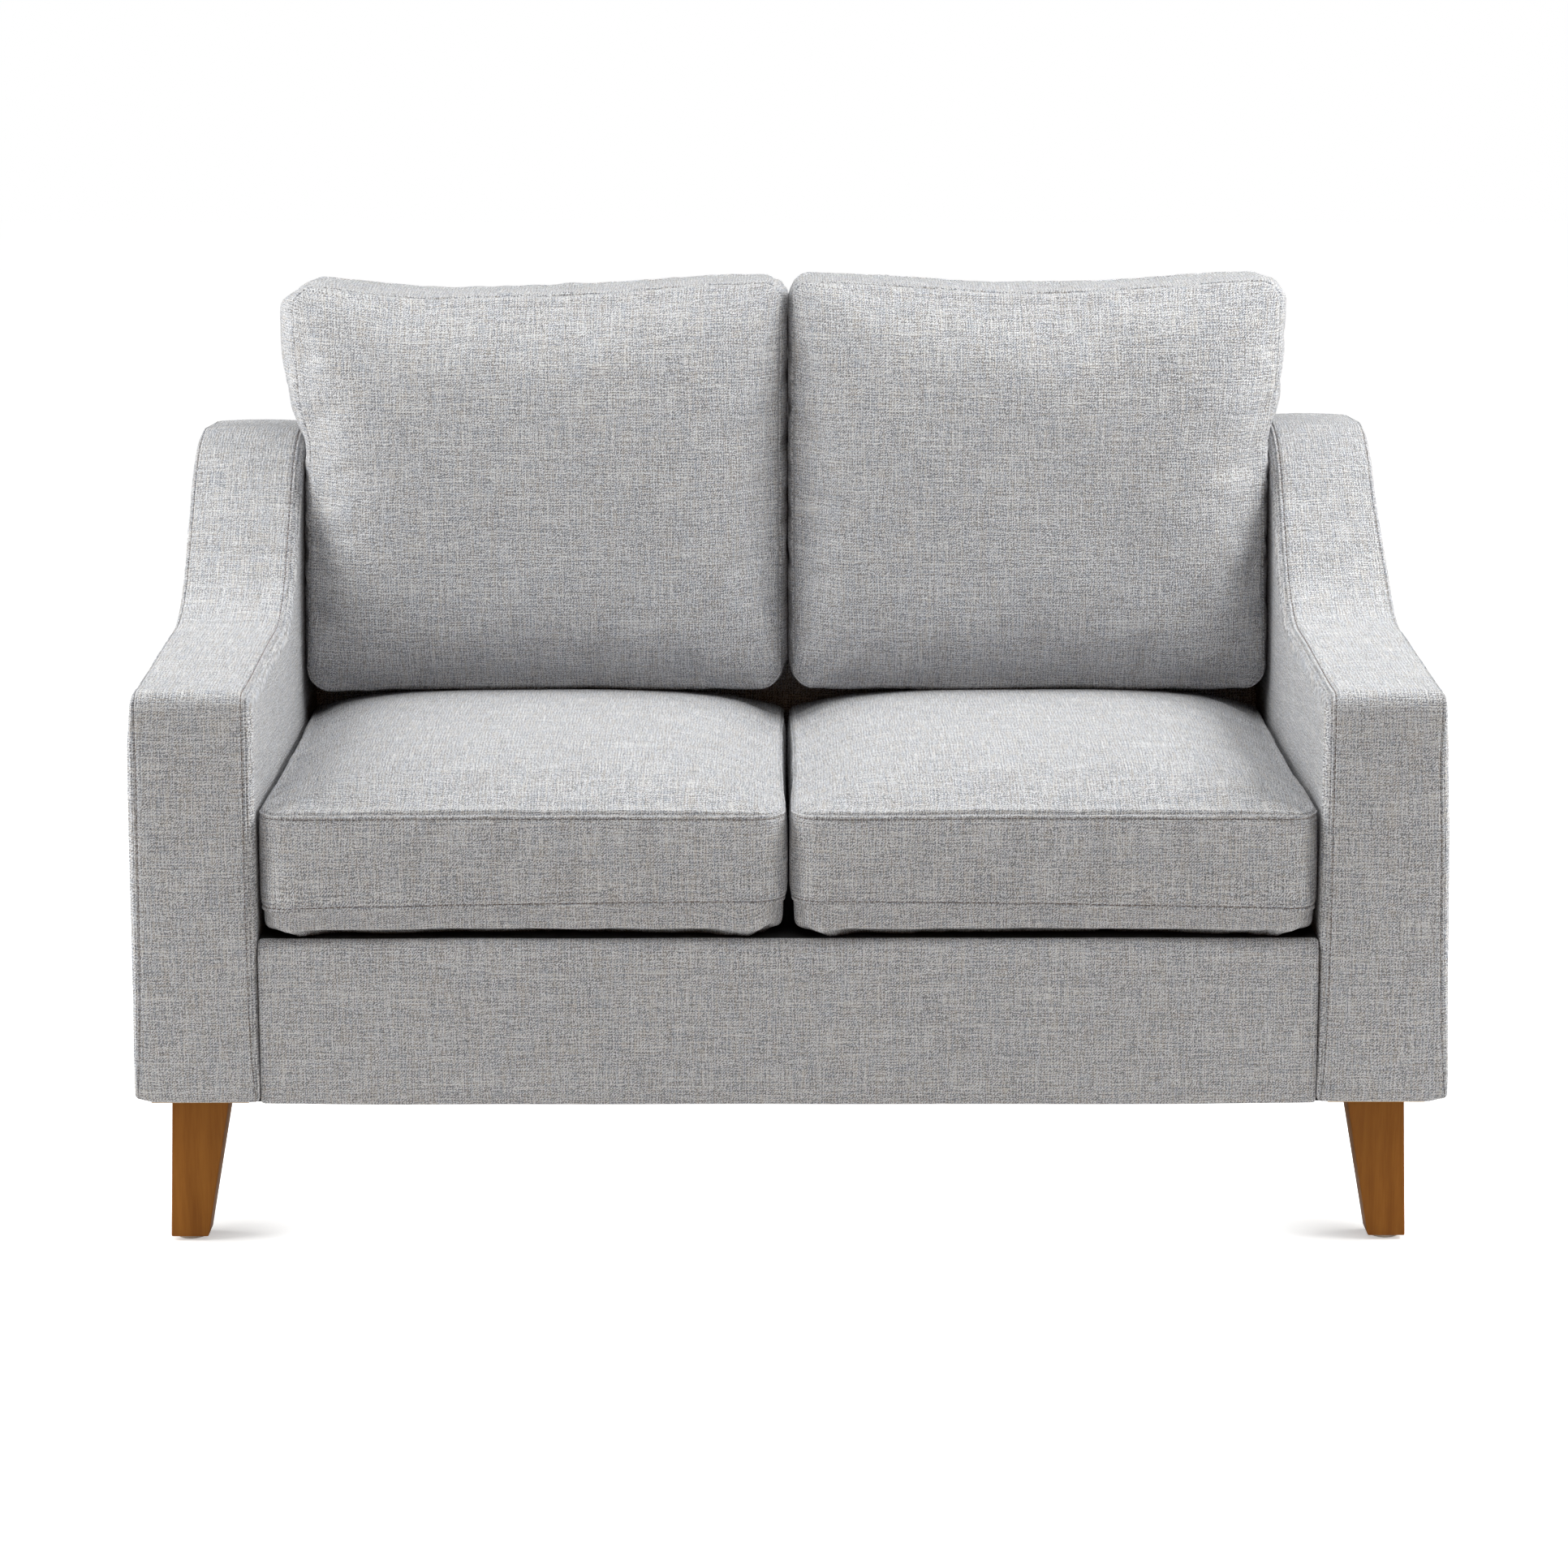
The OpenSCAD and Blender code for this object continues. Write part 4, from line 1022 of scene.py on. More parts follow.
def zipper(kind, side, axis, level, way, up):
    """Zip of a cushion: two cloth tapes with a row of interlocked teeth between them,
    and a slider with its pull tab near one end. It lies in the middle of its CAD
    solid, at a level along one axis. Way runs along it and up points out of the
    cushion."""
    low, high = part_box(f"{kind}_cushion_zip_{side}")
    centre = (np.array(low) + np.array(high)) / 2
    centre[axis] = level
    half_length = (high.x - low.x) / 2
    axes = np.stack([way, np.cross(up, way), up]).astype(float)
    margin, pitch, stagger, pull_length = 0.004, 0.0028, 0.0009, 0.0130

    def add(suffix, size, offsets, finish):
        points, faces = bevelled_block(size)
        spots = centre + np.array(offsets) @ axes
        turns = np.broadcast_to(axes, (len(spots), 3, 3))
        piece = copies(f"{kind}_zip_{side}{suffix}", points, faces, turns, spots)
        return finish_piece(piece, finish, f"{kind}_cushion_{side}", "zip_metal")

    places = np.arange(-half_length + margin, half_length - margin, pitch)
    sides = np.where(np.arange(len(places)) % 2, 1, -1) * stagger
    end = half_length - 0.014
    metal = material("zip_teeth", bright_steel, (0.62, 0.60, 0.56), (0.40, 0.39, 0.37))
    tape = material("zip_tape", woven_black, bpy.context.scene.settee_look, 0.0009, False)
    teeth = add("_teeth", (0.0016, 0.0034, 0.0016),
                np.stack([places, sides, np.full(len(places), 0.0012)], -1), metal)
    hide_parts(f"{kind}_cushion_zip_{side}")
    add("_tape", (2 * half_length, 0.0060, 0.0008), [[0, -0.0040, 0.0004], [0, 0.0040, 0.0004]], tape)
    add("_slider", (0.0085, 0.0070, 0.0030), [[end, 0, 0.0024]], metal)
    add("_pull", (0.0200, 0.0045, 0.0012), [[end - pull_length, 0, 0.0036]], metal)


def settle_seat(points, side, middle, low_seam, half_x):
    """Puts a seat cushion's points in place. The lower seam sags towards the outer side
    and the front stands forward. The cushion stays on the deck and in its width."""
    sag, sag_reach, push, push_reach = 0.009, 0.018, 0.004, 0.06
    moved = points + middle
    x, y, z = moved[..., 0], moved[..., 1], moved[..., 2]
    outer = np.clip(SIDES[side] * points[..., 0] / half_x * 0.5 + 0.5, 0, 1)
    by_seam = bell(z - low_seam, sag_reach) * (z > SEAT_LOW.z + 0.001)
    y = y - push * ease((SEAT_LOW.y + push_reach - y) / push_reach)
    limit = CUSHION_WIDTH / 2 + 0.0008
    return np.stack([middle[0] + np.clip(x - middle[0], -limit, limit), np.minimum(y, SEAT_HIGH.y),
                     np.maximum(z - sag * outer * by_seam, SEAT_LOW.z)], -1)


def settle_back(points, side, box, plane):
    """Puts a back cushion's points in place, leaning on the back. Its top dips and its
    upper boxing sinks. It spreads over the arm, where its boxing bulges. Its inner edge
    rolls back, and its inner side bends towards the right."""
    dip, bulge, raised = BACK_TOPS[side]
    flare, sunk, inner_roll, bend = 0.018, 0.009, 0.010, 0.0022
    way, half_x = SIDES[side], CUSHION_WIDTH / 2
    across, out = way * points[..., 0], points[..., 2]
    height = (CUSHION_LOW.z + CUSHION_HIGH.z) / 2 + points[..., 1]
    on_boxing = np.clip(1 - (2 * out / box) ** 2, 0, 1)
    by_top = ease((height - CUSHION_HIGH.z + 0.15) / 0.13)
    height = height + by_top * (raised - dip * bell(across - 0.15, 0.10))
    height = height - sunk * on_boxing * ease((height - CUSHION_HIGH.z + 0.035) / 0.03)

    spread = flare * (1 - np.exp(-np.maximum(height - ARM_HIGH.z + 0.008, 0) / 0.045))
    limit = half_x + 0.0012
    across = np.clip(across, -limit, limit + np.minimum(spread, 0.012))
    across = across + spread * np.clip(across / half_x, 0, 1) ** 2
    across = across + bulge * on_boxing * spread / flare * np.clip(across / half_x, 0, 1) ** 8

    slope = (height - BACK_LOW.z) * BACK_LEAN
    rolled = np.clip(1 - (across + half_x) / 0.07, 0, 1) ** 2 * np.clip(out / box + 0.5, 0, 1)
    y = np.minimum(plane + slope - (out - inner_roll * rolled), BACK_LOW.y + slope - 0.0002)
    bent = bend * on_boxing * np.clip(-across / half_x, 0, 1) ** 8
    return np.stack([way * (SEAT_LOW.x + half_x + across) + bent, y,
                     np.maximum(height, CUSHION_LOW.z - 0.0002)], -1)


# Sheets of the body

def carried_sheet(name, profile, x_low, x_high, thickness, replaced, seed, bulge=0.0):
    """Padded sheet: a (y, z) profile carried along X, a little fuller in the middle,
    with its ends rolled in, and thickened on its inner side."""
    profile = even_line(np.array(profile))
    along = lengths(profile)
    edge = np.array([0, 0.001, 0.003, 0.006])
    inner_edge, spacing = 0.012, 0.007
    places = np.concatenate([
        edge, np.arange(inner_edge, along[-1] - inner_edge, spacing), along[-1] - edge[::-1]])
    path = read_line(profile, along, places)
    away = unit(read_line(line_normals(profile), along, places))
    ends = np.array([0, 0.0006, 0.0016, 0.003, 0.005, 0.008, 0.013])
    x = np.concatenate([
        x_low + ends, np.linspace(x_low + 0.02, x_high - 0.02, 130), x_high - ends[::-1]])
    from_end = np.minimum(x - x_low, x_high - x)
    rolled_in, roll_radius, unevenness = 0.004, 0.005, 0.0007
    roll = rolled_in * (1 - np.sqrt(1 - np.clip(1 - from_end / roll_radius, 0, 1) ** 2))
    swell = bulge * ease(from_end / 0.15)[:, None] * (1 - (2 * places / along[-1] - 1) ** 4)[None]
    cloth = np.stack(np.meshgrid(x, places, indexing="ij"), -1)
    uneven = unevenness * ripple(cloth, seed, 0.16) * ease(from_end / 0.03)[:, None]
    lift = swell + uneven - roll[:, None]
    points = np.concatenate([
        cloth[..., :1], path[None] + lift[..., None] * away[None]], -1)
    piece, _ = mesh_object(name, [(points, cloth)])
    thicken(piece, thickness)
    finish_piece(piece, cloth_material(), "frame", "body_fabric", replaced)


# Legs

def tapered_leg(name, box_low, box_high, foot, bevel, splay, replaced):
    """Leg with softened edges: two faces by its outer corner that stand out a little
    more at the foot, and two that taper in. Rings of a round-cornered square,
    narrower at both ends."""
    outer = np.array([box_high.x if box_high.x > 0 else box_low.x,
                      box_low.y if box_low.y < 0 else box_high.y])
    top = box_high.x - box_low.x
    low, high = box_low.z, box_high.z
    rows, sharp_angle = 12, 0.6
    height = np.array([0, 0.3, 1]) * bevel
    levels = np.concatenate([
        low + height, np.linspace(low + 0.01, high - 0.01, rows), high - height[::-1]])
    shrink = np.concatenate([[bevel, 0.3 * bevel, 0], np.zeros(rows), [0, 0.3 * bevel, bevel]])
    side = foot + (top - foot) * (levels - low) / (high - low)
    angle = np.radians(np.concatenate([np.linspace(90 * k + 8, 90 * k + 82, 4) for k in range(4)]))
    corner = np.repeat(CORNER_SIGNS, 4, 0)
    spread = splay * (1 - (levels - low) / (high - low))
    centre = outer - np.sign(outer) * (side / 2 - spread)[:, None]
    ring = (centre[:, None] + corner * (side / 2 - bevel)[:, None, None]
            + (bevel - shrink)[:, None, None] * np.stack([np.cos(angle), np.sin(angle)], -1))
    level = np.broadcast_to(levels[:, None, None], ring.shape[:2] + (1,))
    points, faces = rings_with_caps(np.concatenate([ring, level], -1))
    piece = copies(name, points, faces, np.eye(3)[None], np.zeros((1, 3)))
    piece.data.set_sharp_from_angle(angle=sharp_angle)
    wood = material("stained_timber", leg_timber, bpy.context.scene.settee_look)
    finish_piece(piece, wood, "frame", "leg_wood", replaced)


def glides(name, centres, radius, height, replaced):
    """Round feet: a low disc with a rounded edge, turned about its axis."""
    corners, sharp_angle = 40, 0.9
    angle = np.arange(corners) / corners * 2 * np.pi
    profile = [(0.86, 0), (0.96, 0.12), (1, 0.35), (1, 0.7), (0.97, 0.93), (0.93, 1)]
    rings = np.array([np.stack([radius * r * np.cos(angle), radius * r * np.sin(angle),
                                np.full(corners, height * h)], -1) for r, h in profile])
    points, faces = rings_with_caps(rings)
    frames = np.broadcast_to(np.eye(3), (len(centres), 3, 3))
    piece = copies(name, points, faces, frames, np.array(centres))
    piece.data.set_sharp_from_angle(angle=sharp_angle)
    finish_piece(piece, material("pale_plastic", moulded_pale), "frame", "glide_plastic", replaced)


# Sizes and colours that a user would change

def length(name, default, description):
    return FloatProperty(name=name, default=default, description=description, unit="LENGTH", precision=4)


def factor(name, default, description):
    return FloatProperty(name=name, default=default, description=description, subtype="FACTOR")


def number(name, default, description):
    return FloatProperty(name=name, default=default, description=description)


def angle(name, default, description):
    return FloatProperty(name=name, default=math.radians(default), description=description,
                         unit="ROTATION")


def power(name, default):
    return number(name, default, f"Power of the {name.lower()} in watts")


def srgb(red, green, blue):
    """Linear colour of an sRGB one given from 0 to 255."""
    return tuple(((c / 255 + 0.055) / 1.055) ** 2.4 if c > 10 else c / 255 / 12.92
                 for c in (red, green, blue))


def colour(name, default, description):
    return FloatVectorProperty(name=name, default=srgb(*default), description=description,
                               subtype="COLOR", size=3, min=0, max=1)


class SetteeArmSizes(bpy.types.PropertyGroup):
    """Outline and edges of the arms."""
    front_height: length("Front height", 0.592, "Height of the arm at its front")
    level_height: length("Level height", 0.602, "Height of the arm where the scoop starts")
    scoop_start: factor("Scoop start", 0.425, "Share of the depth in front of the scoop")
    scoop_run: factor("Scoop run", 0.4025, "Share of the depth that the scoop takes")
    scoop_round: factor("Scoop roundness", 0.912, "Scoop radii over the largest that fit")
    scoop_hollow: factor("Hollow share", 0.51, "Share of those radii in the hollow")
    nose_radius: length("Nose radius", 0.020, "Radius of the front and rear top corners")
    edge_radius: length("Edge radius", 0.018, "Radius along the long edges")
    foot_tightness: factor("Foot tightness", 0.28, "Share of the edge radius left at the foot")
    top_tightness: factor("Top tightness", 0.5, "Share of the outer edge radius left on top")
    crest_fall: length("Crest fall", 0.006, "Fall of the crest towards the rear")
    strip_crown: length("Strip crown", 0.0015, "Swell of the strip over its edges")
    stitch_place: length("Stitch place", 0.0078, "Stitches round the edge from the strip")
    crease_place: length("Crease place", 0.883, "First crease along the outline")
    crease_depth: length("Crease depth", 0.0030, "Depth of the creases in the scoop")
    edge_draw: length("Edge draw", 0.0015, "How far the outer side draws in at its top")
    foot_draw: length("Foot draw", 0.002, "How far the outer side draws in at its foot")
    foot_roll: length("Foot roll", 0.003, "Roll of the cloth under the foot")
    foot_lift: length("Foot lift", 0.003, "How far the front's foot is drawn up")
    unevenness: length("Unevenness", 0.0006, "Gentle unevenness of the padding")
    mesh_step: length("Mesh step", 0.0075, "Spacing of the mesh along the outline")


class SetteeCushionSizes(bpy.types.PropertyGroup):
    """How one kind of cushion is filled and sewn."""
    fill: factor("Fill", 0.85, "How tightly the cushion is filled")
    mesh_step: length("Mesh step", 0.0068, "Spacing of the mesh in the panels")
    pressure: number("Pressure", 4.0, "Pressure of the filling")
    stiffness: number("Stiffness", 18.0, "Stretch stiffness of the cloth")
    bending: number("Bending", 0.6, "Bending stiffness of the cloth")
    slack: factor("Slack", 0.012, "How much larger the cloth is cut")
    seam_hold: factor("Seam hold", 0.9, "How firmly the seams stay in place")
    start_unevenness: length("Unevenness", 0.002, "Unevenness before the cushion is filled")
    cap: length("Cap", 0.012, "Furthest that a point may move")
    boxing_draw: length("Boxing draw", 0.002, "How far the boxing draws in between its seams")
    pucker_pitch: length("Pucker pitch", 0.024, "Distance between puckers along a seam")
    pucker_reach: length("Pucker reach", 0.012, "Distance over which puckers fade")
    pucker_size: factor("Pucker size", 0.6, "Size of the puckers")
    hollow_depth: length("Hollow depth", 0.0006, "Depth of the soft hollows")


class SetteeSewing(bpy.types.PropertyGroup):
    """Seams and stitches."""
    stitch_length: length("Stitch length", 0.0045, "Length of one visible stitch")
    stitch_pitch: length("Stitch pitch", 0.0062, "Distance from stitch to stitch")
    stitch_width: length("Stitch width", 0.0011, "Thickness of the thread")
    stitch_inset: length("Stitch inset", 0.0046, "Distance of the stitches from the seam")
    stitch_dip: length("Stitch dip", 0.0013, "Depth of the cloth under the stitches")
    seam_depth: length("Seam depth", 0.0015, "Depth of the groove on the seam")
    seam_ridge: length("Seam ridge", 0.0009, "Height of the folded edge by the seam")
    lip_height: length("Lip height", 0.0004, "Height of the panels' lip along the seam")
    pucker: length("Pucker height", 0.0012, "Height of the puckers by the seams")
    edge_pitch: length("Edge pitch", 0.022, "Distance between the puckers on the arms' edges")


class SetteeLook(bpy.types.PropertyGroup):
    """Colours and scales of the finishes."""
    thread_pitch: length("Thread pitch", 0.0032, "Distance between the threads")
    fibre_width: length("Fibre width", 0.0010, "Width of a single thread")
    slub_length: length("Slub length", 0.042, "Length of the pale threads")
    weave_depth: length("Weave depth", 0.0006, "Relief of the weave")
    roughness: factor("Roughness", 0.9, "Roughness of the cloth")
    sheen: factor("Sheen", 0.05, "Sheen of the cloth")
    gloss: factor("Gloss", 0.25, "Specular level of the cloth")
    pale_thread: colour("Pale thread", (224, 225, 229), "Pale threads of the weave")
    dark_thread: colour("Dark thread", (122, 123, 127), "Dark threads of the weave")
    beige_thread: colour("Beige thread", (180, 170, 158), "Warm threads")
    blue_thread: colour("Blue thread", (160, 169, 184), "Cool threads")
    slub_thread: colour("Slub thread", (229, 228, 226), "Thick pale threads")
    # Lit colour of the sewing thread, its own brown darkened as painted shade of the seam groove, then
    # the painted shade between its plies
    thread_lit: colour("Sewing thread", (120, 92, 74), "Sewing thread in the light")
    thread_painted_shade: colour("Dark sewing thread", (70, 50, 42), "Sewing thread between plies")
    wood_light: colour("Wood light", (162, 104, 38), "Light bands of the legs")
    wood_dark: colour("Wood dark", (130, 77, 21), "Dark bands of the legs")
    wood_pore: colour("Wood pores", (96, 50, 14), "Pores of the legs")
    # Lit raised threads and painted shade on the sunk threads of the lining
    lining_lit: colour("Lining light", (60, 60, 62), "Raised threads of the lining")
    lining_painted_shade: colour("Lining dark", (28, 28, 30), "Sunk threads of the lining")


class SetteeStudio(bpy.types.PropertyGroup):
    """Camera and light."""
    lens: number("Lens", 104.52, "Focal length on a 36 mm sensor")
    camera_place: FloatVectorProperty(name="Camera", default=(-0.0199, -4.97, 1.408), size=3,
                                      description="Place of the camera", subtype="TRANSLATION")
    camera_pitch: angle("Pitch", 78.72, "Turn of the camera up from straight down")
    camera_yaw: angle("Yaw", -0.19, "Turn of the camera about the vertical")
    left_light: power("Left light", 62.0)
    right_light: power("Right light", 34.0)
    high_left: power("High left light", 32.0)
    high_right: power("High right light", 64.0)
    top_light: power("Top light", 36.0)
    high_front: power("High front light", 19.0)
    front_light: power("Front light", 4.0)
    room_light: number("Room light", 0.0, "Brightness of the room")
    floor_glow: number("Floor glow", 0.08, "Light that the floor adds")
    glow_tint: colour("Glow tint", (255, 222, 180), "Colour of the light from the floor")


GROUPS = {
    "settee_arm": SetteeArmSizes,
    "settee_seat": SetteeCushionSizes,
    "settee_back": SetteeCushionSizes,
    "settee_sewing": SetteeSewing,
    "settee_look": SetteeLook,
    "settee_studio": SetteeStudio,
}


# Operators

class SETTEE_OT_arms(bpy.types.Operator):
    """Make the padded covers of both arms"""
    bl_idname = "settee.arms"
    bl_label = "Arm upholstery"

    def execute(self, context):
        for side in SIDES:
            arm_upholstery(side, context.scene.settee_arm, context.scene.settee_sewing)
        return {"FINISHED"}


class SETTEE_OT_body_covers(bpy.types.Operator):
    """Make the front rail's cover, the inside and outside back and the seat deck"""
    bl_idname = "settee.body_covers"
    bl_label = "Body covers"

    def execute(self, context):
        fold, top_fold, cloth, padding = 0.004, 0.006, 0.0035, 0.0110

        # The rail's cover turns in over its top, further down than in
        front, foot, top = RAIL_LOW.y, RAIL_LOW.z, RAIL_HIGH.z
        turn_in, drop = 0.012, 0.024
        profile = np.concatenate([
            [[RAIL_HIGH.y, foot]],
            arc((front + fold, foot + fold), fold, 270, 180, 10),
            arc((0, 0), 1, 180, 90, 24) * (turn_in, drop) + (front + turn_in, top - drop),
            [[front + turn_in + 0.002, top]],
        ])
        carried_sheet("front_rail_upholstery", profile, -RAIL_HIGH.x, RAIL_HIGH.x, cloth,
                      "front_rail_cover", 21, bulge=0.0015)

        low, high, bend = BACK_LOW, BACK_HIGH, 0.0125
        turn = high.z - 0.012
        top_y = low.y + (turn - low.z) * BACK_LEAN
        profile = np.concatenate([
            [[low.y, low.z], [top_y, turn]],
            arc((top_y + bend, turn - 0.0005), bend, 172, 90, 20),
            [[high.y, high.z]],
        ])
        carried_sheet("inside_back_upholstery", profile, low.x, high.x, padding,
                      "inside_back_cover", 23)

        low, high = OUTBACK_LOW, OUTBACK_HIGH
        profile = np.concatenate([
            arc((high.y - top_fold, high.z - top_fold), top_fold, 90, 0, 12),
            arc((high.y - fold, low.z + fold), fold, 0, -90, 10),
        ])
        carried_sheet("outside_back_upholstery", profile, low.x, high.x, cloth,
                      "outside_back_cover", 25, bulge=0.002)
        lining = material("deck_lining", woven_black, context.scene.settee_look, 0.0012)
        flat_pad("seat_deck_pad", DECK_LOW, DECK_HIGH, 0.006, 0.0015, lining,
                 "frame", "black_cloth", "seat_deck")
        return {"FINISHED"}


class SETTEE_OT_seat_cushions(bpy.types.Operator):
    """Make both loose seat cushions with their foam and zips"""
    bl_idname = "settee.seat_cushions"
    bl_label = "Seat cushions"

    def execute(self, context):
        scene = context.scene
        puff, box, crown, corner, zip_depth = 0.003, 0.095, 0.034, 0.030, 0.0042
        low_seam = SEAT_HIGH.z - crown - box
        half = (CUSHION_WIDTH / 2 - puff, (SEAT_HIGH.y - SEAT_LOW.y) / 2 - puff)
        form = {
            "half": half, "radii": [corner] * 4, "pulls": [0.005, 0.003, 0.004, 0.003],
            "swells": [0, 0, 0.002, 0], "box": box, "puff": puff, "crown": crown,
            "belly": low_seam - SEAT_LOW.z, "crown_power": 2.6, "belly_power": 30, "belly_turn": 0.25,
        }
        for side, way in SIDES.items():
            middle = np.array([way * (SEAT_LOW.x + SEAT_HIGH.x) / 2,
                               (SEAT_LOW.y + SEAT_HIGH.y) / 2, low_seam + box / 2])
            place = partial(settle_seat, side=side, middle=middle, low_seam=low_seam, half_x=half[0])
            boxed_cushion("seat", side, form, scene.settee_seat, scene.settee_sewing, place,
                          41 if side == "left" else 57, (62, 72, 10))
            cushion_foam("seat", side, *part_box(f"seat_cushion_core_{side}"))
            zipper("seat", side, 1, SEAT_HIGH.y - zip_depth, (-1, 0, 0), (0, 1, 0))
        return {"FINISHED"}


class SETTEE_OT_back_cushions(bpy.types.Operator):
    """Make both loose back cushions with their foam and zips"""
    bl_idname = "settee.back_cushions"
    bl_label = "Back cushions"

    def execute(self, context):
        scene = context.scene
        puff, box, crown, belly, zip_depth = 0.006, 0.125, 0.047, 0.014, 0.0040
        half = (CUSHION_WIDTH / 2 - puff, (CUSHION_HIGH.z - CUSHION_LOW.z) / 2 - puff)
        plane = BACK_LOW.y - belly - 0.0003 - box / 2
        inner_top, foot = 0.020, 0.022
        for side in SIDES:
            outer_top = 0.026 if side == "left" else 0.022
            radii = [outer_top, inner_top, foot, foot]
            pulls, swells = [0.012, 0, 0, 0.002], [0.003, 0.001, 0.002, 0.004]
            if side == "left":
                radii[:2] = inner_top, outer_top
                pulls[1], pulls[3] = pulls[3], pulls[1]
                swells[1], swells[3] = swells[3], swells[1]
            form = {
                "half": half, "radii": radii, "pulls": pulls, "swells": swells, "box": box,
                "puff": puff, "crown": crown, "belly": belly, "crown_power": 4,
                "belly_power": 20, "belly_turn": 0.5,
            }
            place = partial(settle_back, side=side, box=box, plane=plane)
            boxed_cushion("back", side, form, scene.settee_back, scene.settee_sewing, place,
                          73 if side == "left" else 89, (62, 54, 12))

            core_low, core_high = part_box(f"back_cushion_core_{side}")
            middle_z, half_z = (core_low.z + core_high.z) / 2, (core_high.z - core_low.z) / 2

            def lean_back(points, middle_z=middle_z):
                x, up, out = np.moveaxis(points, -1, 0)
                height = middle_z + up
                return np.stack([x, plane + (height - BACK_LOW.z) * BACK_LEAN - out, height], -1)

            cushion_foam("back", side, (core_low.x, -half_z, -box / 2),
                         (core_high.x, half_z, box / 2), lean_back)
            zipper("back", side, 2, CUSHION_LOW.z + zip_depth, (1, 0, 0), (0, 0, -1))
        return {"FINISHED"}


class SETTEE_OT_legs(bpy.types.Operator):
    """Make the four legs, their glides and the dust cover"""
    bl_idname = "settee.legs"
    bl_label = "Legs and underside"

    def execute(self, context):
        foot, splay, bevel = 0.039, 0.004, 0.0016
        inset = foot / 2 - splay
        centres = []
        for end in ("front", "rear"):
            for side in SIDES:
                low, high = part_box(f"leg_{end}_{side}")
                tapered_leg(f"wooden_leg_{end}_{side}", low, high, foot, bevel, splay,
                            f"leg_{end}_{side}")
                out_x = high.x if high.x > 0 else low.x
                out_y = low.y if low.y < 0 else high.y
                centres.append((out_x - np.sign(out_x) * inset, out_y - np.sign(out_y) * inset, 0))
        glides("leg_glides", centres, 0.015, 0.004, "foot_glides")

        x, y, z = DUST_HIGH.x, DUST_HIGH.y, DUST_HIGH.z
        a, b = np.meshgrid(np.linspace(-1, 1, 90), np.linspace(-1, 1, 56), indexing="ij")
        sag = 0.0016 * (1 - a ** 2) * (1 - b ** 2)
        points = np.stack([x * a, y * b, z - 0.0001 - sag], -1)
        piece, _ = mesh_object("dust_cover_cloth", [(points, points[..., :2])])
        thicken(piece, 0.0004)
        lining = material("dust_lining", woven_black, context.scene.settee_look, 0.0016)
        finish_piece(piece, lining, "frame", "black_cloth", "dust_cover")
        return {"FINISHED"}


class SETTEE_OT_frame_finishes(bpy.types.Operator):
    """Give the timber, plywood, springs and fasteners inside their finishes"""
    bl_idname = "settee.frame_finishes"
    bl_label = "Frame finishes"

    def execute(self, context):
        pale, dark = (0.66, 0.48, 0.28), (0.47, 0.31, 0.16)
        timber = [material(f"timber_along_{axis}", sawn_timber, pale, dark, k)
                  for k, axis in enumerate("xyz")]
        steel = material("bright_steel", bright_steel, (0.62, 0.63, 0.65), (0.42, 0.42, 0.44))
        webbing = material("webbing", woven_black, context.scene.settee_look, 0.002, False)
        finishes = (
            (("post", "stile"), timber[2]),
            (("base_board", "top_boards", "brace"), timber[1]),
            (("panel",), material("pale_plywood", plywood)),
            (("spring", "bolt", "nut", "clip", "rod"), steel),
            (("webbing",), webbing),
            (("",), timber[0]),
        )
        for name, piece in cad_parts.items():
            piece.data.materials.clear()
            piece.data.materials.append(next(
                finish for words, finish in finishes if any(word in name for word in words)))
        return {"FINISHED"}


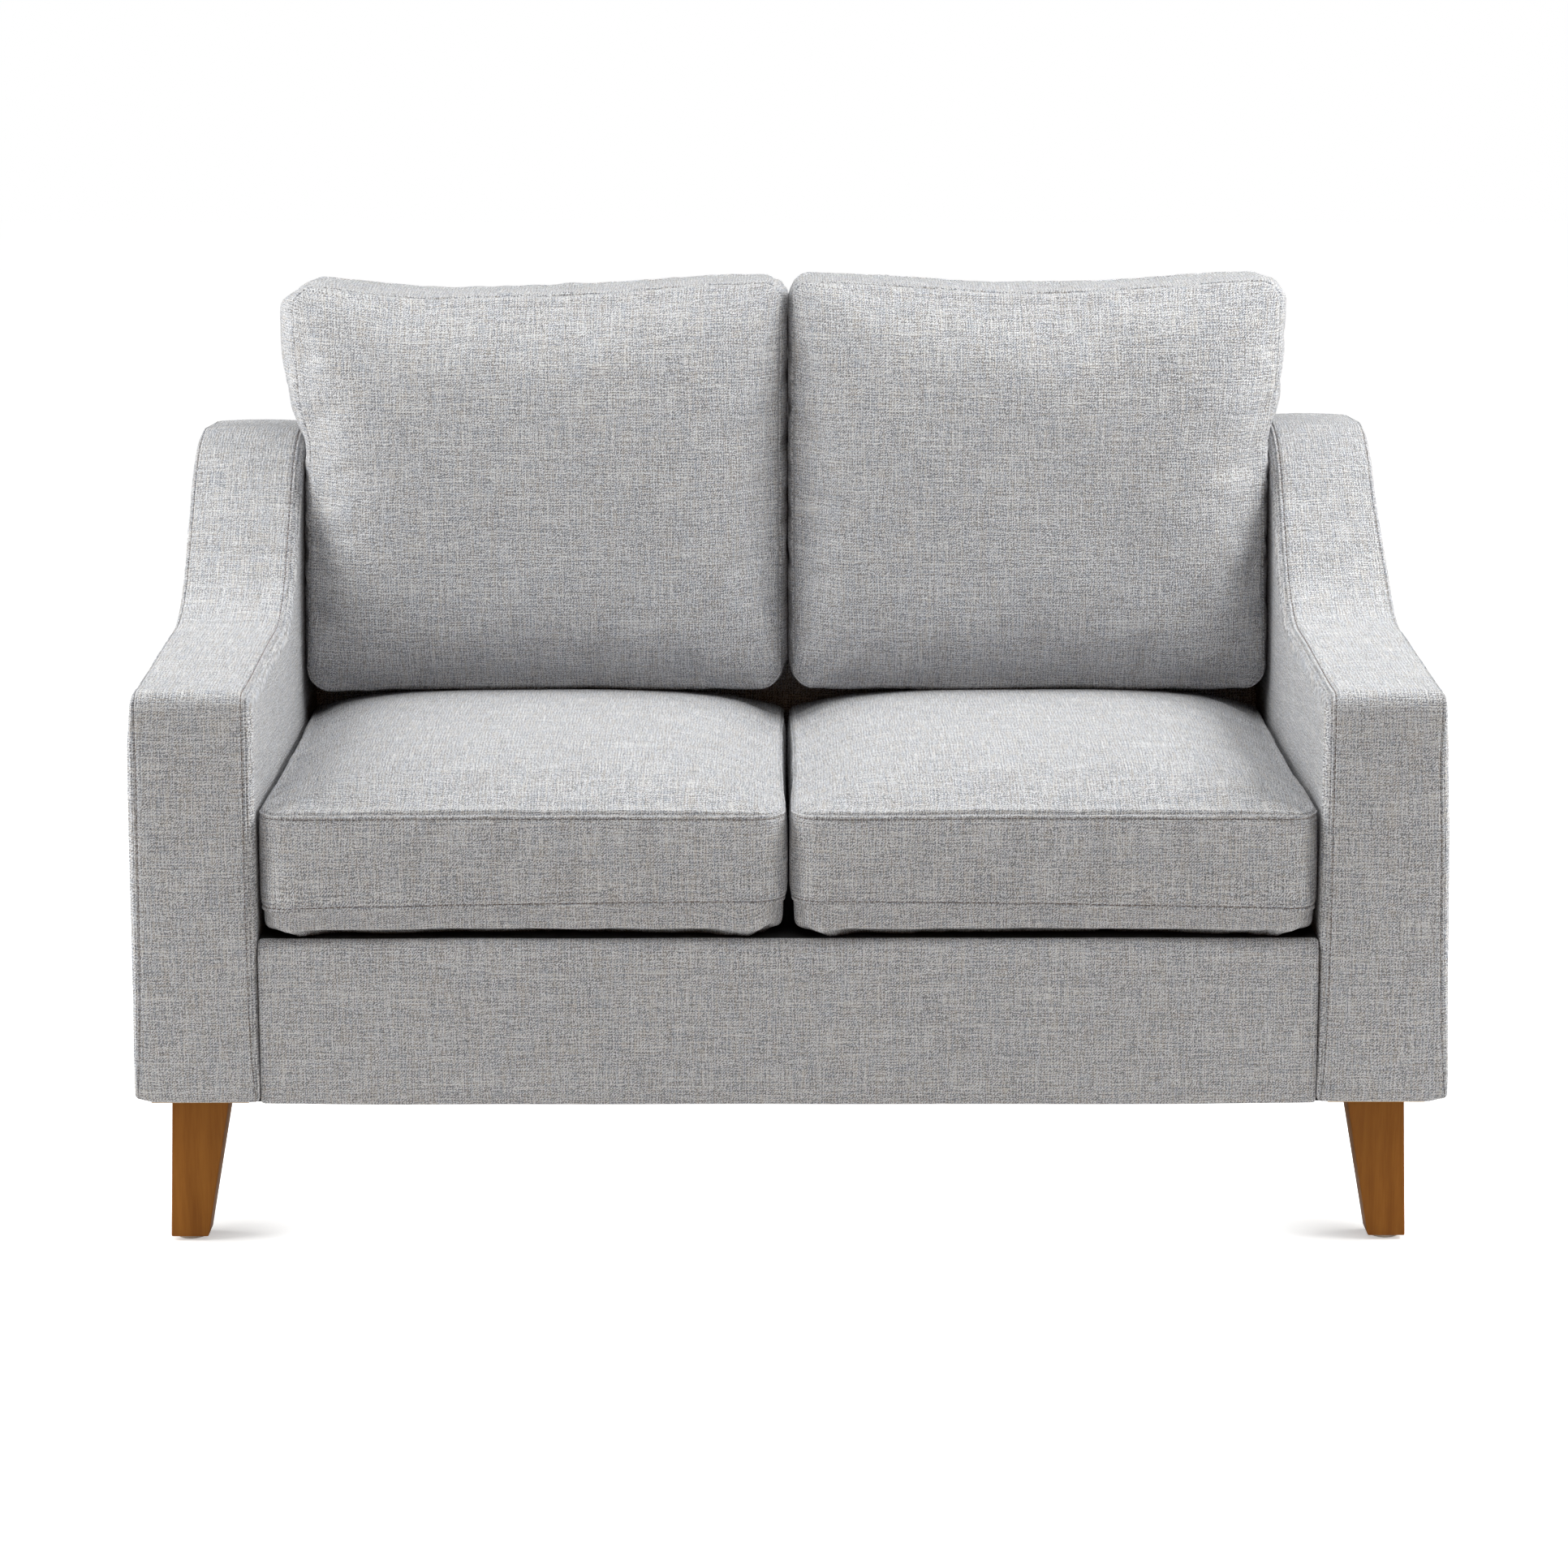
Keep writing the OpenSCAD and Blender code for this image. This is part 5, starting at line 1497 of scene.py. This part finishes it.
class SETTEE_OT_studio(bpy.types.Operator):
    """Set up the floor, the lights, the room and the camera"""
    bl_idname = "settee.studio"
    bl_label = "Studio"

    def execute(self, context):
        scene = context.scene
        studio = scene.settee_studio
        self.floor(studio)
        self.room(scene, studio)
        self.lamps(studio)

        camera = bpy.data.cameras.new("camera")
        camera.lens = studio.lens
        camera.sensor_width = 36
        camera.clip_end = 60
        holder = linked("camera", camera)
        holder.location = studio.camera_place
        holder.rotation_euler = (studio.camera_pitch, 0, studio.camera_yaw)
        scene.camera = holder
        scene.view_settings.view_transform = "Standard"
        return {"FINISHED"}

    def lamps(self, studio):
        """Soft lamps at both sides, above and in front: name, place, turn in degrees,
        size, power and colour."""
        white, warm = (1, 1, 0.98), (1, 0.5, 0.2)
        lamps = (
            ("light_left", (-3.0, -0.42, 1.4), (0, -83, 0), (1.6, 2.4), studio.left_light, white),
            ("light_right", (3.0, -0.18, 1.4), (0, 83, 0), (1.6, 2.4), studio.right_light, white),
            ("light_high_left", (-2.3, -0.2, 2.4), (0, -50, 0), (1.2, 1.8), studio.high_left, white),
            ("light_high_right", (2.3, -0.2, 2.4), (0, 50, 0), (1.2, 1.8), studio.high_right, white),
            ("light_overhead", (0, 0.1, 3.1), (0, 0, 0), (3.4, 2.6), studio.top_light, white),
            ("light_high_front", (0, -1.7, 2.9), (25, 0, 0), (3.0, 1.4), studio.high_front, white),
            ("light_front", (0, -4.2, 1.2), (86, 0, 0), (3.0, 1.6), studio.front_light, warm),
        )
        for name, place, turn, size, power, tint in lamps:
            lamp = bpy.data.lights.new(name, "AREA")
            lamp.shape = "RECTANGLE"
            lamp.size, lamp.size_y = size
            lamp.energy = power
            lamp.color = tint
            holder = linked(name, lamp)
            holder.location = place
            holder.rotation_euler = [math.radians(t) for t in turn]
            holder.visible_camera = False

    def floor(self, studio):
        """Wide pale floor, white to the camera through its glow. Around the feet the glow is
        turned down as painted shade, and the feet's real shadows also show there. It throws
        a little warm light up."""
        reach, below = 14, 0.0002
        share = np.linspace(-1, 1, 25)
        x, y = np.meshgrid(share * reach, share * reach, indexing="ij")
        points = np.stack([x, y, 0 * x - below], -1)
        piece, _ = mesh_object("studio_floor", [(points, points[..., :2])])
        paint = Paint("studio_floor", roughness=0.9, base_color=(0.80, 0.80, 0.80, 1))
        x, y, _ = paint.object_places()
        # Painted shade: the white that the camera sees fades to 0.45 around each leg, whether or not a
        # shadow falls there
        inset_x, inset_y = 0.045, 0.065
        near, far, painted_shade = 0.02, 0.16, 0.55
        foot_x = (x * x).root() - ARM_HIGH.x + inset_x
        foot_y = (y * y).root() - DEPTH / 2 + inset_y
        distance = (foot_x * foot_x + foot_y * foot_y).root()
        white = distance.between(near, far) * painted_shade + (1 - painted_shade)
        seen = paint.out(paint.node("LightPath"), "Is Camera Ray")
        strength = seen * white + (1 - seen) * studio.floor_glow
        tint = paint.mix(seen, studio.glow_tint, (1, 1, 1))
        glow = paint.node("Emission", None, {"Color": tint, "Strength": strength})
        both = paint.node("AddShader", None, {0: paint.out(paint.shader), 1: paint.out(glow)})
        out = paint.tree.nodes["Material Output"]
        paint.tree.links.new(both.outputs[0], out.inputs["Surface"])
        piece.data.materials.append(paint.material)

    def room(self, scene, studio):
        """White to the camera, and only the room's own light on the settee."""
        world = bpy.data.worlds.new("studio_room")
        scene.world = world
        world.use_nodes = True
        world.node_tree.nodes.clear()
        nodes = Nodes(world.node_tree)
        seen = nodes.out(nodes.node("LightPath"), "Is Camera Ray")
        strength = seen + (1 - seen) * studio.room_light
        light = nodes.node("Background", None, {"Color": (1, 1, 1, 1), "Strength": strength})
        nodes.tree.links.new(light.outputs[0], nodes.node("OutputWorld").inputs["Surface"])


OPERATORS = (
    SETTEE_OT_arms, SETTEE_OT_body_covers, SETTEE_OT_seat_cushions, SETTEE_OT_back_cushions,
    SETTEE_OT_legs, SETTEE_OT_frame_finishes, SETTEE_OT_studio,
)


class SETTEE_PT_builder(bpy.types.Panel):
    """Lists the settee's sizes, colours and pieces"""
    bl_label = "High back settee"
    bl_space_type = "VIEW_3D"
    bl_region_type = "UI"
    bl_category = "Settee"

    def draw(self, context):
        for operator in OPERATORS:
            self.layout.operator(operator.bl_idname)
        for name, group in GROUPS.items():
            box = self.layout.box()
            box.label(text=group.__doc__)
            for key in group.__annotations__:
                box.prop(getattr(context.scene, name), key)


def register():
    for group in dict.fromkeys(GROUPS.values()):
        bpy.utils.register_class(group)
    for name, group in GROUPS.items():
        setattr(bpy.types.Scene, name, PointerProperty(type=group))
    for operator in OPERATORS:
        bpy.utils.register_class(operator)
    bpy.utils.register_class(SETTEE_PT_builder)


def unregister():
    bpy.utils.unregister_class(SETTEE_PT_builder)
    for operator in reversed(OPERATORS):
        bpy.utils.unregister_class(operator)
    for name in GROUPS:
        delattr(bpy.types.Scene, name)
    for group in dict.fromkeys(GROUPS.values()):
        bpy.utils.unregister_class(group)


def set_back_cushions(back):
    """Back cushions move further, are cut with more slack, and get deeper hollows, larger puckers and
    less boxing draw than the seats. Their fill is set but not used.
    """
    back.fill = 0.75
    back.cap = 0.014
    back.slack = 0.016
    back.hollow_depth = 0.0022
    back.pucker_size = 0.9
    back.boxing_draw = 0.001


def main():
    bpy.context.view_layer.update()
    register()
    set_back_cushions(bpy.context.scene.settee_back)
    for operator in OPERATORS:
        group, name = operator.bl_idname.split(".")
        getattr(getattr(bpy.ops, group), name)()
    bpy.context.view_layer.update()


if __name__ == "__main__":
    main()
